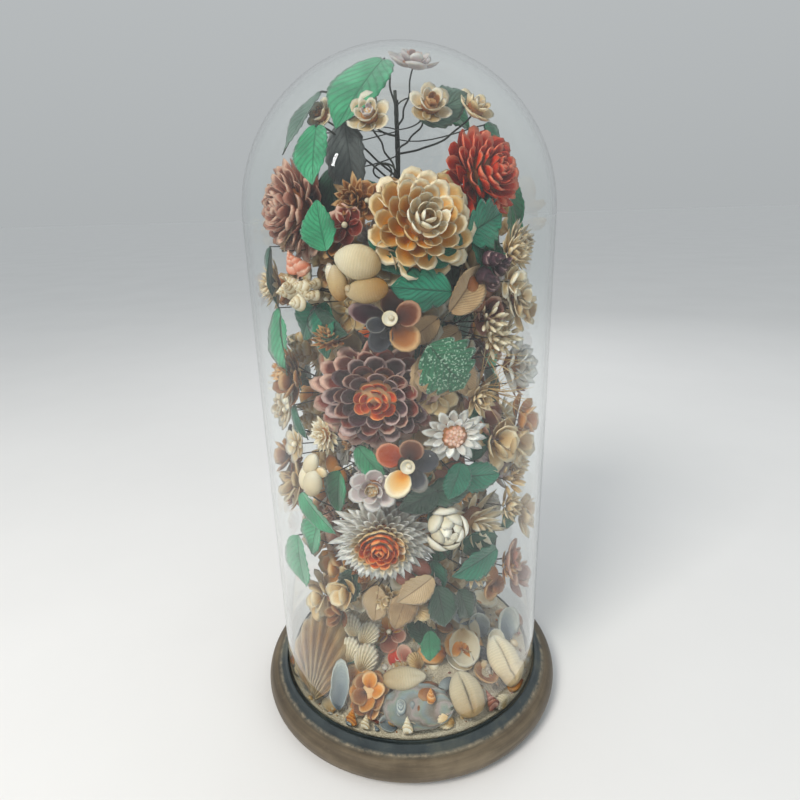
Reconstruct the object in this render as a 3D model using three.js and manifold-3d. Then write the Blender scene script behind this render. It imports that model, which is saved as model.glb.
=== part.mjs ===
// A bouquet of shell flowers under a glass dome, on a round turned wooden base with three bun feet.
// Millimetres, +Z up. The origin is on the table under the middle of the base, and -Y is the front.
import * as THREE from 'three';
import { mergeVertices } from 'three/addons/utils/BufferGeometryUtils.js';
import Module from 'manifold-3d';

const wasm = await Module();
wasm.setup();

// Kept between two pieces that touch
const GAP = 0.3;

// Detail finer than this is left out of joined solids
const SMALLEST_DETAIL = 0.12;

// Glass dome: a straight tube closed by a round cap, open below
const DOME_RADIUS = 114;
const DOME_WALL = 3;
const DOME_TOP = 526;
const DOME_SEGMENTS = 28;
const CAP_STEPS = 5;

// Turned base, from the feet up
const FOOT_HEIGHT = 7;
const FOOT_RADIUS = 16;
const FOOT_INSET = 22;
const FRONT_FOOT_AZIMUTH = -9;
const BODY_HEIGHT = 17;
const BELLY = 10;
const BOTTOM_TUCK = 3;
const TOP_BAND = 6.5;
const LIP_RISE = 5;
const LIP_WIDTH = 1;
const GROOVE_DEPTH = 5;
const GROOVE_CLEARANCE = 1.5;

// Bed of sand that the shells and the stems stand in
const BED_MARGIN = 1.5;
const BED_RISE = 28;
const BED_SEGMENTS = 16;
const SOCKET_DEPTH = 18;

// Wire stems
const TRUNK_RADIUS = 2.6;
const TRUNK_SIDES = 7;
// Keeps the trunk's edges clear of the front wires
const TRUNK_TURN = 14;
const TRUNK_HEADROOM = 28;
// The trunk tapers from this height over the bed
const TRUNK_COLLAR = 20;
const WIRE_RADIUS = 1.1;
const WIRE_STEPS = 2;
const WIRE_ROOT = 0.6;
const WIRE_SWEEP = 0.4;
const WIRE_LIFT = 0.3;
const LOWEST_WIRE = 16;
const HIGHEST_WIRE = 5;
const FLOWER_LEAD = 22;
const LEAF_LEAD = 7;

// Leaves
const LEAF_THICKNESS = 1.1;
// How far a wire runs into a leaf of one piece with it, along the leaf and through it
const LEAF_GRIP = LEAF_THICKNESS * 2;
const LEAF_PIERCE = LEAF_THICKNESS * 0.8;
const LEAF_STEPS = 4;
const WIRED_LEAF_STEPS = 3;
const LEAF_TOOTH = 0.14;

// The bouquet is a free form. Its radius is at most this share of its height.
const BOUQUET_SLENDERNESS = 0.313;

// Worked out from the sizes above
const domeInside = DOME_RADIUS - DOME_WALL;
const spring = DOME_TOP - DOME_RADIUS;
const grooveOutside = DOME_RADIUS + GROOVE_CLEARANCE;
const grooveInside = domeInside - GROOVE_CLEARANCE;
const bodyTop = FOOT_HEIGHT + BODY_HEIGHT;
const lipTop = bodyTop + LIP_RISE;
const grooveFloor = lipTop - GROOVE_DEPTH;
const arrisRadius = grooveOutside + LIP_WIDTH + TOP_BAND;
const bellyRadius = arrisRadius + BELLY;
const deck = lipTop - 1;
const bedRadius = grooveInside - BED_MARGIN;
const bedFloor = deck + GAP;
const bedTop = bedFloor + BED_RISE;

// The bouquet's places and sizes below are hundredths. Reaches and places on the bed are of the inside radius of
// the glass. Heights are of the way from the bed to the spring of the cap, and beyond 100 of that radius. Sizes
// of flowers and leaves are of the bouquet's radius, and those of shells on the bed of the inside radius.
const bouquetHeight = spring - bedTop;
const bouquetRadius = Math.min(domeInside, bouquetHeight * BOUQUET_SLENDERNESS);
const flowerScale = bouquetRadius / 100;
const bedScale = domeInside / 100;

const radians = THREE.MathUtils.degToRad;
const vector = (x, y, z) => new THREE.Vector3(x, y, z);

// Colours of the pieces
const paint = (color, roughness, metalness = 0) =>
  new THREE.MeshStandardMaterial({ color, roughness, metalness });
const glassPaint = new THREE.MeshStandardMaterial({
  color: 0xe8f2f0, roughness: 0.05, transparent: true, opacity: 0.25,
});
const woodPaint = paint(0x3b352c, 0.45);
const sandPaint = paint(0xb9ad98, 0.9);
const wirePaint = paint(0x2c3329, 0.6);
const greenPaint = paint(0x3f9a72, 0.5);
const tealPaint = paint(0x0f7a5c, 0.5);
const tanPaint = paint(0xc4ab86, 0.6);
const creamPaint = paint(0xe2d6ba, 0.4);
const whitePaint = paint(0xe6e2d8, 0.4);
const peachPaint = paint(0xe0b183, 0.4);
const coralPaint = paint(0xc2473a, 0.4);
const mauvePaint = paint(0x8c5a56, 0.4);
const winePaint = paint(0x5c2c2c, 0.35);
const orangePaint = paint(0xc07a48, 0.4);
const amberPaint = paint(0xd8bf92, 0.35);
const nacrePaint = paint(0x9aa29c, 0.2);

// A direction from its azimuth (0 is the front, + is to the right) and its height above the horizon
function direction(azimuth, lift) {
  const a = radians(azimuth);
  const e = radians(lift);
  return vector(Math.sin(a) * Math.cos(e), -Math.cos(a) * Math.cos(e), Math.sin(e));
}

// A place in the glass from its azimuth, its height above the table and its distance from the middle
function place(azimuth, height, reach) {
  const a = radians(azimuth);
  const z = height > 100
    ? spring + ((height - 100) / 100) * domeInside
    : bedTop + (height / 100) * bouquetHeight;
  return vector(Math.sin(a), -Math.cos(a), 0).multiplyScalar((reach / 100) * domeInside).setZ(z);
}

// The turn that brings local +Z to the facing direction and local +Y as near upright as it goes, then rolls
function facingTurn(facing, roll) {
  const side = vector(0, 0, 1).cross(facing).normalize();
  const up = facing.clone().cross(side);
  const turned = new THREE.Quaternion().setFromRotationMatrix(new THREE.Matrix4().makeBasis(side, up, facing));
  return turned.multiply(new THREE.Quaternion().setFromAxisAngle(vector(0, 0, 1), radians(roll)));
}

// Booleans
function solidOf(geometry) {
  const bare = new THREE.BufferGeometry().setAttribute('position', geometry.getAttribute('position'));
  bare.setIndex(geometry.index);
  const merged = mergeVertices(bare, 1e-3);
  const vertProperties = merged.getAttribute('position').array;
  const triVerts = new Uint32Array(merged.index.array);
  return new wasm.Manifold(new wasm.Mesh({ numProp: 3, vertProperties, triVerts }));
}

function geometryOf(solid) {
  const mesh = solid.getMesh();
  const positions = new Float32Array(mesh.numVert * 3);
  for (let i = 0; i < mesh.numVert; i += 1) {
    positions.set(mesh.vertProperties.subarray(i * mesh.numProp, i * mesh.numProp + 3), i * 3);
  }
  return new THREE.BufferGeometry()
    .setAttribute('position', new THREE.BufferAttribute(positions, 3))
    .setIndex(new THREE.BufferAttribute(mesh.triVerts, 1));
}

// Touching solids as one body. Slivers that the joining leaves inside are dropped.
function joined(geometries) {
  const union = geometries.map(solidOf).reduce((all, next) => all.add(next));
  const whole = solidOf(geometryOf(union)).simplify(SMALLEST_DETAIL);
  return geometryOf(whole.decompose().reduce((most, body) => (body.numTri() > most.numTri() ? body : most)));
}

// A solid turned about Z. The profile runs up the outside, from the axis at the bottom to the axis at the top.
function turned(profile, segments) {
  const outline = profile.map(([r, z]) => new THREE.Vector2(r, z));
  return new THREE.LatheGeometry(outline, segments).rotateX(Math.PI / 2);
}

// Moves each vertex of a geometry to where the function says
function reshape(geometry, move) {
  const points = geometry.getAttribute('position');
  const p = vector(0, 0, 0);
  for (let i = 0; i < points.count; i += 1) {
    p.fromBufferAttribute(points, i);
    move(p, i);
    points.setXYZ(i, p.x, p.y, p.z);
  }
  return geometry;
}

// Flower heads: tiers of petals on one round body. Each ring is its radius, height, notch between petals and
// whether it is turned by half a petal, as shares of the head's radius and depth.
const FORMS = {
  dahlia: {
    petals: 10,
    samples: 2,
    rings: [[0, 0, 0, 0], [0.28, 0.02, 0, 0], [1, 0.42, 0.22, 0], [0.64, 0.4, 0.06, 0], [0.76, 0.68, 0.24, 1],
      [0.44, 0.62, 0.06, 1], [0.5, 0.92, 0.26, 0], [0.22, 0.82, 0, 0], [0, 1, 0, 0]],
  },
  carnation: {
    petals: 8,
    samples: 2,
    rings: [[0, 0, 0, 0], [0.26, 0, 0, 0], [1, 0.4, 0.18, 0], [0.76, 0.46, 0.08, 0], [0.88, 0.7, 0.2, 1],
      [0.52, 0.72, 0.08, 1], [0.54, 0.94, 0.22, 0], [0, 0.9, 0, 0]],
  },
  chrysanthemum: {
    petals: 12,
    samples: 2,
    rings: [[0, 0, 0, 0], [0.24, 0, 0, 0], [1, 0.36, 0.18, 0], [0.62, 0.42, 0.04, 0], [0.8, 0.6, 0.18, 1],
      [0.4, 0.66, 0.04, 1], [0.46, 0.96, 0.16, 0], [0, 0.86, 0, 0]],
  },
  daisy: {
    petals: 11,
    samples: 2,
    rings: [[0, 0, 0, 0], [0.2, 0, 0, 0], [1, 0.4, 0.36, 0],
      [0.34, 0.6, 0, 0], [0.26, 0.95, 0, 0], [0, 1, 0, 0]],
  },
  star: {
    petals: 8,
    samples: 2,
    rings: [[0, 0, 0, 0], [0.2, 0, 0, 0], [1, 0.4, 0.42, 0],
      [0.42, 0.5, 0.1, 0], [0.6, 0.85, 0.4, 1], [0, 0.75, 0, 0]],
  },
  blossom: {
    petals: 5,
    samples: 2,
    rings: [[0, 0, 0, 0], [0.24, 0.05, 0, 0], [1, 0.55, 0.45, 0],
      [0.3, 0.45, 0.1, 0], [0.26, 0.95, 0, 0], [0, 1, 0, 0]],
  },
  cup: {
    petals: 5,
    samples: 3,
    rings: [[0, 0, 0, 0], [0.4, 0.02, 0.2, 0], [1, 0.5, 0.5, 0], [0.94, 0.68, 0.5, 0], [0.6, 0.26, 0.34, 0],
      [0.24, 0.24, 0, 0], [0.22, 0.9, 0, 0], [0, 1, 0, 0]],
  },
  peony: {
    petals: 6,
    samples: 2,
    rings: [[0, 0, 0, 0], [0.55, 0.04, 0.1, 0], [1, 0.42, 0.16, 0], [0.86, 0.78, 0.2, 1], [0.36, 1, 0.2, 0],
      [0, 0.92, 0, 0]],
  },
  lily: {
    petals: 6,
    samples: 2,
    rings: [[0, 0, 0, 0], [0.14, 0, 0, 0], [1, 0.5, 0.6, 0], [0.32, 0.6, 0.3, 0], [0, 0.9, 0, 0]],
  },
};

function flowerHead(form, halfWidth, halfHeight, depth) {
  const { petals, samples, rings } = FORMS[form];
  const count = rings.length;
  const head = turned(rings, petals * samples);
  return reshape(head, (p, i) => {
    const [, , notch, halfTurn] = rings[i % count];
    const around = (2 * Math.PI * Math.floor(i / count)) / (petals * samples);
    const crest = Math.abs(Math.cos((petals * around + halfTurn * Math.PI) / 2));
    const keep = 1 - notch * (1 - crest);
    p.set(p.x * keep * halfWidth, p.y * keep * halfHeight, p.z * depth);
  });
}

// An egg of the given length along Y, width along X and depth along Z
function egg(length, width, depth, around = 6, along = 4) {
  return new THREE.SphereGeometry(0.5, around, along).scale(width, length, depth);
}

// Shells of one kind, each an egg at its place [x, y, length, width, lean], held together as one bud
function eggBud(shells) {
  return joined(shells.map(([x, y, length, width, lean]) => egg(length, width, width * 0.8)
    .rotateZ(radians(lean))
    .translate(x, y, width * 0.38)));
}

// Clam shells: one open to the left, one lying to the right below, and a pale one above
const clamBud = () => eggBud([
  [-10.8, -4.5, 20.7, 12.6, 12], [6.3, -8.1, 25.2, 15.3, 98], [1.8, 7.2, 25.2, 19.8, 78],
]);

// Round snail shells below, and two top shells above
const snailCluster = () => eggBud([
  [-6.3, -1.8, 10.8, 12.6, 0], [4.5, -2.7, 10.8, 11.7, 0], [0, -10.8, 13.5, 9.9, 0], [0, 7.2, 18, 11.7, 70],
]);

// Smooth oval shells, like beans
const beanBud = () => eggBud([
  [0.9, 8.1, 17.1, 10.8, -33], [3.6, -4.5, 18, 14.4, -14], [-4.5, -3.1, 18, 9.9, -7],
]);

// A bud of shell strips wound like a rose
function roseBud(radius) {
  const bud = turned([[0, 0], [0.62, 0.16], [1, 0.7], [0.92, 1.2], [0.6, 1.5], [0.5, 1.7], [0, 1.62]], 9);
  return bud.scale(radius, radius, radius * 0.98);
}

// A long rough tassel of tiny shells, hanging along -Y
function catkin(length, width) {
  const beads = 4;
  const profile = [[0, 0]];
  for (let i = 0; i < beads; i += 1) {
    const swell = Math.sin((Math.PI * (i + 0.9)) / (beads + 0.6));
    profile.push([width * 0.5 * (0.5 + 0.5 * swell), (length * (i + 0.5)) / beads]);
    profile.push([width * 0.36 * (0.5 + 0.5 * swell), (length * (i + 1)) / beads]);
  }
  profile.push([0, length * 1.02]);
  return turned(profile, 7).rotateX(Math.PI / 2);
}

// A leaf along +Y from its stalk, folded at the rib, toothed at the edge and curled at the tip
function leafBlade(length, width, fold, curl, steps = LEAF_STEPS) {
  return reshape(new THREE.BoxGeometry(1, 1, LEAF_THICKNESS, 2, steps, 1), (p) => {
    const along = p.y + 0.5;
    const tooth = 1 - LEAF_TOOTH * (Math.round(along * steps) % 2);
    const half = 0.5 + 0.5 * width * Math.sin(Math.PI * Math.min(1, along * 0.92 + 0.06) ** 0.85) * tooth;
    p.x *= 2 * half;
    p.z += Math.abs(p.x) * fold - curl * length * along * along;
    p.y = along * length;
  });
}

// Shells on the bed, each above the local plane z = 0
function cowrie(length, width, height) {
  return reshape(egg(length, width, height, 12, 7), (p) => {
    const slit = Math.exp(-((p.x / (width * 0.13)) ** 2)) * (1 - (2 * p.y / length) ** 2);
    p.z += height * 0.5 - (p.z > 0 ? slit * height * 0.34 : 0);
  });
}

// A shell turned from its half section, then shaped. The move is given the column it is in.
function shapedShell(section, columns, move) {
  return reshape(turned(section, columns), (p, i) => move(p, Math.floor(i / section.length) % columns));
}

function ribbedShell(length, width, height, ribs) {
  const section = [[0, 0], [0.5, 0.02], [0.44, 0.42], [0.24, 0.86], [0, 1]];
  return shapedShell(section, ribs * 2, (p, column) => {
    const rib = 1 - 0.1 * (column % 2);
    const taper = 0.72 + 0.28 * (p.y + 0.5);
    p.set(p.x * width * rib * taper, p.y * length * rib, p.z * height);
  });
}

function musselHalf(length, width, height) {
  const section = [[0, 0], [0.36, 0.12], [0.5, 1], [0.4, 0.86], [0.2, 0.42], [0, 0.36]];
  return shapedShell(section, 10, (p) => {
    p.set(p.x * width * (1 - 0.45 * p.y), p.y * length, p.z * height);
  });
}

function abaloneDish(length, width, height) {
  const section = [[0, 0], [0.36, 0.1], [0.5, 1], [0.45, 0.96], [0.3, 0.36], [0, 0.24]];
  return turned(section, 14).scale(length, width, height);
}

function frilledShell(length, width, height) {
  const section = [[0, 0], [0.4, 0], [0.5, 0.6], [0.3, 1], [0, 0.8]];
  return shapedShell(section, 14, (p, column) => {
    const frill = 1 + 0.12 * Math.sin(3.1 * column);
    p.set(p.x * width * frill, p.y * length * frill, p.z * height);
  });
}

function whelk(length, width) {
  const spire = turned([[0, 0], [0.3, 0.16], [0.5, 0.42], [0.4, 0.62], [0.22, 0.82], [0, 1]], 8);
  return spire.scale(width, width, length).rotateX(-Math.PI / 2).translate(0, -length / 2, width * 0.48);
}

// The wooden base, its feet and the glass
const wood = (r, z) => [r, z];
const baseProfile = [
  wood(0, FOOT_HEIGHT),
  wood(bellyRadius - BOTTOM_TUCK, FOOT_HEIGHT),
  wood(bellyRadius, FOOT_HEIGHT + BODY_HEIGHT * 0.42),
  wood(bellyRadius - BELLY * 0.12, FOOT_HEIGHT + BODY_HEIGHT * 0.7),
  wood(bellyRadius - BELLY * 0.45, FOOT_HEIGHT + BODY_HEIGHT * 0.92),
  wood(arrisRadius, bodyTop),
  wood(arrisRadius - TOP_BAND * 0.25, bodyTop + LIP_RISE * 0.14),
  wood(arrisRadius - TOP_BAND * 0.65, bodyTop + LIP_RISE * 0.45),
  wood(grooveOutside + LIP_WIDTH, lipTop),
  wood(grooveOutside, lipTop),
  wood(grooveOutside, grooveFloor),
  wood(grooveInside, grooveFloor),
  wood(grooveInside, deck),
  wood(0, deck),
];

const footProfile = [
  wood(0, 0),
  wood(FOOT_RADIUS * 0.72, 0),
  wood(FOOT_RADIUS, (FOOT_HEIGHT - GAP) * 0.5),
  wood(FOOT_RADIUS * 0.86, FOOT_HEIGHT - GAP),
  wood(0, FOOT_HEIGHT - GAP),
];

function domeProfile() {
  const arc = (radius) => Array.from({ length: CAP_STEPS + 1 }, (_, i) => {
    const a = (Math.PI / 2) * (i / CAP_STEPS);
    return [radius * Math.cos(a), spring + radius * Math.sin(a)];
  });
  const rim = grooveFloor + GAP;
  const cap = (radius) => arc(radius).map(([r, z], i) => (i === CAP_STEPS ? [0, z] : [r, z]));
  return [...cap(domeInside).reverse(), [domeInside, rim], [DOME_RADIUS, rim], ...cap(DOME_RADIUS)];
}

// Height of the bed at a distance from the middle
const bedSteps = [[1, 0.1], [0.9, 0.3], [0.68, 0.58], [0.4, 0.86], [0.14, 1]];
function bedHeight(r) {
  const share = r / bedRadius;
  for (let i = 1; i < bedSteps.length; i += 1) {
    const [outer, low] = bedSteps[i - 1];
    const [inner, high] = bedSteps[i];
    if (share >= inner) return bedFloor + BED_RISE * (low + ((outer - share) / (outer - inner)) * (high - low));
  }
  return bedTop;
}

const socketRadius = TRUNK_RADIUS + GAP;
const socketFloor = bedTop - SOCKET_DEPTH;
const bedProfile = [
  [0, bedFloor],
  [bedRadius, bedFloor],
  ...bedSteps.map(([r, z]) => [r * bedRadius, bedFloor + z * BED_RISE]),
  [socketRadius, bedTop],
  [socketRadius, socketFloor],
  [0, socketFloor],
];

// Flowers: form, azimuth, height and reach of the back, half width, half height, depth, facing azimuth and
// lift, and colour
const FLOWERS = {
  peach_dahlia: ['dahlia', 8, 98.9, 72.1, 31.5, 30.6, 21.6, 14, 18, peachPaint],
  coral_carnation: ['carnation', 47, 121.6, 60.4, 26.1, 26.1, 22.5, 42, 14, coralPaint],
  mauve_carnation: ['carnation', -61, 107.2, 64.9, 30.6, 31.5, 23.4, -56, 4, mauvePaint],
  wine_dahlia: ['dahlia', -14, 68.2, 69.4, 40.5, 34.2, 24.3, -3, 5, winePaint],
  white_chrysanthemum: ['chrysanthemum', -15, 36.6, 66.7, 35.1, 31.5, 23.4, -4, 0, whitePaint],
  white_daisy: ['daisy', 20, 60.6, 82, 20.7, 16.2, 9.9, 14, 8, whitePaint],
  amber_top_blossom: ['blossom', -14, 153.2, 61.3, 12.2, 11.7, 8.1, -12, 30, amberPaint],
  pink_top_blossom: ['blossom', 18, 157.7, 56.8, 12.6, 12.6, 8.1, 16, 32, peachPaint],
  left_top_blossom: ['blossom', -46, 156.8, 57.7, 9.9, 9.9, 7.2, -42, 30, creamPaint],
  right_top_blossom: ['blossom', 49, 157.7, 57.7, 12.6, 11.7, 8.1, 44, 40, tanPaint],
  crown_blossom: ['blossom', 28, 185.6, 21.6, 14.4, 13.5, 7.2, 20, 72, peachPaint],
  beige_star: ['star', -82, 87.3, 82, 18, 18, 12.6, -78, 0, tanPaint],
  orange_star: ['star', -66, 70.1, 78.4, 18.9, 18.9, 12.6, -56, 0, orangePaint],
  wine_star: ['star', -34, 78.6, 75.7, 14.4, 12.6, 8.1, -32, 58, winePaint],
  amber_left_blossom: ['blossom', -76, 61.1, 85.6, 13.5, 13.5, 8.1, -58, 6, amberPaint],
  rice_flower: ['star', -36, 60.3, 82.9, 11.7, 13.5, 9, -34, 8, creamPaint],
  amber_blossom: ['blossom', -14, 50.7, 86.5, 14.4, 13.5, 8.1, -8, 12, amberPaint],
  cream_peony: ['peony', 60, 70.7, 76.6, 16.2, 18, 16.2, 56, 4, creamPaint],
  cream_blossom: ['blossom', 51, 85.4, 83.8, 13.5, 15.3, 9, 58, 6, creamPaint],
  yellow_star: ['star', 54, 94.1, 81.1, 14.4, 17.1, 10.8, 60, 4, tanPaint],
  tan_lily: ['lily', 40, 36.9, 63.1, 28.8, 27.9, 13.5, 36, -4, tanPaint],
  red_blossom: ['blossom', 60, 25.1, 82.9, 13.5, 14.4, 9, 66, 8, mauvePaint],
  mussel_flower: ['cup', -5, 82.8, 81.1, 20.7, 18, 9.9, -2, 26, winePaint],
  coral_pansy: ['cup', 0, 55.8, 84.7, 18.9, 18, 9.9, 2, 12, coralPaint],
  back_cream_carnation: ['carnation', 172, 97.2, 70.3, 27, 27, 18, 174, 4, creamPaint],
  back_mauve_carnation: ['carnation', 126, 68.5, 68.5, 25.2, 25.2, 19.8, 126, 0, mauvePaint],
  back_brown_star: ['star', 207, 96.1, 72.1, 19.8, 19.8, 12.6, 207, 0, winePaint],
  back_coral_peony: ['peony', 196, 68.5, 70.3, 21.6, 21.6, 16.2, 196, 4, coralPaint],
};

// Buds and groups that are not plain heads: solid, azimuth, height and reach of the back, facing azimuth and
// lift, roll and colour
const BUDS = {
  clam_bud: [clamBud, -17, 91.3, 81.1, -16, 4, 0, amberPaint],
  snail_cluster: [snailCluster, -44, 89, 83.8, -40, 4, 0, creamPaint],
  bean_bud: [beanBud, -46, 50.4, 83.8, -40, 6, 0, creamPaint],
  rose_bud: [() => roseBud(11.9), 17, 40, 76.6, 12, 16, 0, creamPaint],
  brown_catkin: [() => catkin(61.3, 14.4), -78, 55.5, 82.9, -72, 0, 0, orangePaint],
};

// Leaves in pieces of their own: azimuth, height and reach of the stalk, facing azimuth and lift, turn of the
// tip from upright toward the right, length, width, fold, curl and colour
const LEAVES = {
  crown_leaf: [-12, 187.4, 34.2, -22, 50, -165, 54.1, 30.6, 0.1, 0, greenPaint],
  left_top_leaf: [-36, 150.5, 74.8, -35, 30, 170, 33.3, 19.8, 0.15, 0, greenPaint],
  upright_leaf: [-27, 95.5, 90.1, -25, -2, -12, 27, 18, 0.2, 0, greenPaint],
  teal_pair_leaf: [18, 88.2, 89.2, 9, 0, -84, 34.2, 19.8, -0.2, 0, tealPaint],
  right_teal_leaf: [27, 97.5, 81.1, 33, 0, 70, 30.6, 22.5, 0.15, 0, tealPaint],
  tan_leaf: [17, 84.5, 89.2, 28, 4, 46, 35.1, 17.1, 0.3, 0, tanPaint],
  glitter_leaf: [9, 79.2, 89.2, 14, 2, 142, 36.9, 30.6, 0.1, 0, tealPaint],
  left_low_leaf: [-52, 45.6, 90.1, -42, 0, 132, 36, 15.3, 0.2, 0, greenPaint],
  left_bottom_leaf: [-59, 33.8, 91, -46, 4, 180, 45, 25.2, 0.1, 0, greenPaint],
  right_low_leaf: [46, 31.3, 84.7, 38, 0, -102, 38.7, 20.7, 0.15, 0, tealPaint],
};

// Leaves of one piece with the wire that carries them
const WIRED_LEAVES = [
  [-43, 169.4, 61.3, -51, 37, -150, 40.5, 19.8, 0.1, 0],
  [-78, 72.4, 85.6, -42, 0, -6, 28.8, 21.6, 0.1, 0],
  [-46, 84.8, 75.7, -50, 4, -140, 30.6, 23.4, 0.1, 0],
  [15, 83.1, 79.3, 12, 0, -124, 25.2, 16.2, 0.1, 0],
  [23, 54.9, 86.5, 23, 6, -160, 25.2, 19.8, 0.1, 0],
  [13, 49.3, 82.9, 9, 2, -118, 27, 19.8, 0.1, 0],
  [12, 27.9, 75.7, 10, 6, -126, 30.6, 21.6, 0.1, 0],
  [100, 107.2, 79.3, 102, 14, 170, 39.6, 23.4, 0.1, 0],
  [155, 82.5, 82.9, 155, 0, 190, 39.6, 23.4, 0.1, 0],
  [196, 54.4, 82.9, 196, 0, 170, 37.8, 23.4, 0.1, 0],
  [250, 68.5, 82.9, 250, 0, 185, 39.6, 23.4, 0.1, 0],
  [168, 31.8, 81.1, 168, 6, 172, 36, 23.4, 0.1, 0],
];

// Cockles, and the shells in the middle of the bed, are stuck to each other
const cockleGroup = () => joined([
  ribbedShell(21.6, 18, 9.9, 4).rotateZ(-0.3).translate(4.5, 9.9, 0),
  ribbedShell(18.9, 14.4, 9, 4).translate(-6.3, 9, 0),
  ribbedShell(28.8, 18, 10.8, 5).rotateZ(0.3).translate(-1.8, -8.1, 0),
]);
const middleGroup = () => joined([
  frilledShell(21.6, 32.4, 5.4).rotateZ(0.1).translate(10.8, -3.6, 0.9),
  frilledShell(30.6, 15.3, 7.2).rotateZ(0.5).translate(-5.4, -3.6, 0),
  egg(37.8, 11.7, 6.3).rotateZ(0.5).translate(-11.7, 15.3, 3.6),
  abaloneDish(25.2, 23.4, 7.2).translate(18.9, 18, 0),
  ribbedShell(14.4, 12.6, 8.1, 4).translate(1.8, 19.8, 0),
]);

// Shells on the bed: solid, half its length, x, y, facing azimuth and lift, turn from upright toward the right
// and colour
const BED_SHELLS = {
  ribbed_ark_shell: [() => ribbedShell(59.5, 32.4, 16.2, 8), 24.3, -66.7, -38.7, -6, 56, 0, tanPaint],
  mussel_shell: [() => musselHalf(32.4, 13.5, 7.2), 15.3, -51.4, -62.2, 0, 50, 0, nacrePaint],
  cockle_group: [cockleGroup, 19.8, -41.4, -24.3, -24, 62, 0, whitePaint],
  shore_flower: [() => flowerHead('cup', 16.2, 16.2, 9), 12.6, -16.2, -26.1, -8, 54, 0, peachPaint],
  whelk_shell: [() => whelk(30.6, 15.3), 3.6, -4.5, -61.3, 0, 68, 86, creamPaint],
  middle_shells: [middleGroup, 21.6, 27, -30.6, 14, 62, 0, whitePaint],
  large_cowrie: [() => cowrie(36, 24.3, 15.3), 9, 68.5, -42.3, 24, 62, 4, whitePaint],
  small_cowrie: [() => cowrie(30.6, 24.3, 14.4), 8.1, 36.9, -73, 16, 60, -2, creamPaint],
  abalone_shell: [() => abaloneDish(48.6, 27, 7.2), 5.4, 3.6, -82, 0, 64, 0, nacrePaint],
  frilled_shell: [() => frilledShell(26.1, 26.1, 9.9), 12.6, -30.6, -70.3, -16, 60, 0, orangePaint],
};

const part = new THREE.Group();

function addPiece(name, geometry, material, position = vector(0, 0, 0), turn = new THREE.Quaternion()) {
  const mesh = new THREE.Mesh(geometry, material);
  mesh.name = name;
  mesh.position.copy(position);
  mesh.quaternion.copy(turn);
  part.add(mesh);
  return mesh;
}

addPiece('wooden_base', turned(baseProfile, DOME_SEGMENTS), woodPaint);
addPiece('glass_dome', turned(domeProfile(), DOME_SEGMENTS), glassPaint);
addPiece('sand_bed', turned(bedProfile, BED_SEGMENTS), sandPaint);
['front_foot', 'right_foot', 'left_foot'].forEach((name, i) => {
  const at = direction(FRONT_FOOT_AZIMUTH + 120 * i, 0).multiplyScalar(bellyRadius - FOOT_INSET);
  addPiece(name, turned(footProfile, 9), woodPaint, at);
});

// A wire leaves the trunk outward, and arrives at its end along the given direction
const wires = [];
const trunkTop = DOME_TOP - TRUNK_HEADROOM;
const wireEnds = [];
const wireTo = (end, arriving, lead) => wireEnds.push({ end, arriving, lead });

function wire({ end, arriving, lead }, rootHeight) {
  const outward = vector(end.x, end.y, 0).normalize();
  const root = vector(0, 0, rootHeight).addScaledVector(outward, -WIRE_ROOT);
  const out = root.clone().addScaledVector(outward, Math.hypot(end.x, end.y) * WIRE_SWEEP);
  out.z += (end.z - rootHeight) * WIRE_LIFT;
  const near = end.clone().addScaledVector(arriving, -lead);
  const path = new THREE.CubicBezierCurve3(root, out, near, end);
  const section = new THREE.Shape([-30, 90, 210].map((a) => new THREE.Vector2(WIRE_RADIUS, 0)
    .rotateAround(new THREE.Vector2(), radians(a))));
  return new THREE.ExtrudeGeometry(section, { steps: WIRE_STEPS, bevelEnabled: false, extrudePath: path });
}

for (const [name, row] of Object.entries(FLOWERS)) {
  const [form, azimuth, height, reach, halfWidth, halfHeight, depth, faceAzimuth, lift, material] = row;
  const facing = direction(faceAzimuth, lift);
  const at = place(azimuth, height, reach);
  const head = flowerHead(form, halfWidth, halfHeight, depth).scale(flowerScale, flowerScale, flowerScale);
  addPiece(name, head, material, at, facingTurn(facing, 0));
  wireTo(at.clone().addScaledVector(facing, -GAP), facing, FLOWER_LEAD);
}

for (const [name, row] of Object.entries(BUDS)) {
  const [make, azimuth, height, reach, faceAzimuth, lift, roll, material] = row;
  const facing = direction(faceAzimuth, lift);
  const at = place(azimuth, height, reach);
  addPiece(name, make().scale(flowerScale, flowerScale, flowerScale), material, at, facingTurn(facing, roll));
  wireTo(at.clone().addScaledVector(facing, -GAP), facing, FLOWER_LEAD);
}

function leafPose([azimuth, height, reach, faceAzimuth, lift, roll]) {
  const turn = facingTurn(direction(faceAzimuth, lift), -roll);
  const along = vector(0, 1, 0).applyQuaternion(turn);
  return { at: place(azimuth, height, reach), turn, along };
}

for (const [name, row] of Object.entries(LEAVES)) {
  const [length, width, fold, curl, material] = row.slice(6);
  const { at, turn, along } = leafPose(row);
  const blade = leafBlade(length * flowerScale, width * flowerScale, fold, curl);
  addPiece(name, blade, material, at, turn);
  wireTo(at.clone().addScaledVector(along, -GAP), along, LEAF_LEAD);
}

for (const row of WIRED_LEAVES) {
  const [length, width, fold, curl] = row.slice(6);
  const { at, turn, along } = leafPose(row);
  const blade = leafBlade(length * flowerScale, width * flowerScale, fold, curl, WIRED_LEAF_STEPS);
  blade.applyQuaternion(turn).translate(at.x, at.y, at.z);
  wires.push(blade);
  const through = vector(0, 0, LEAF_PIERCE).applyQuaternion(turn);
  wireTo(at.clone().addScaledVector(along, LEAF_GRIP).add(through), along, LEAF_LEAD);
}

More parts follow.
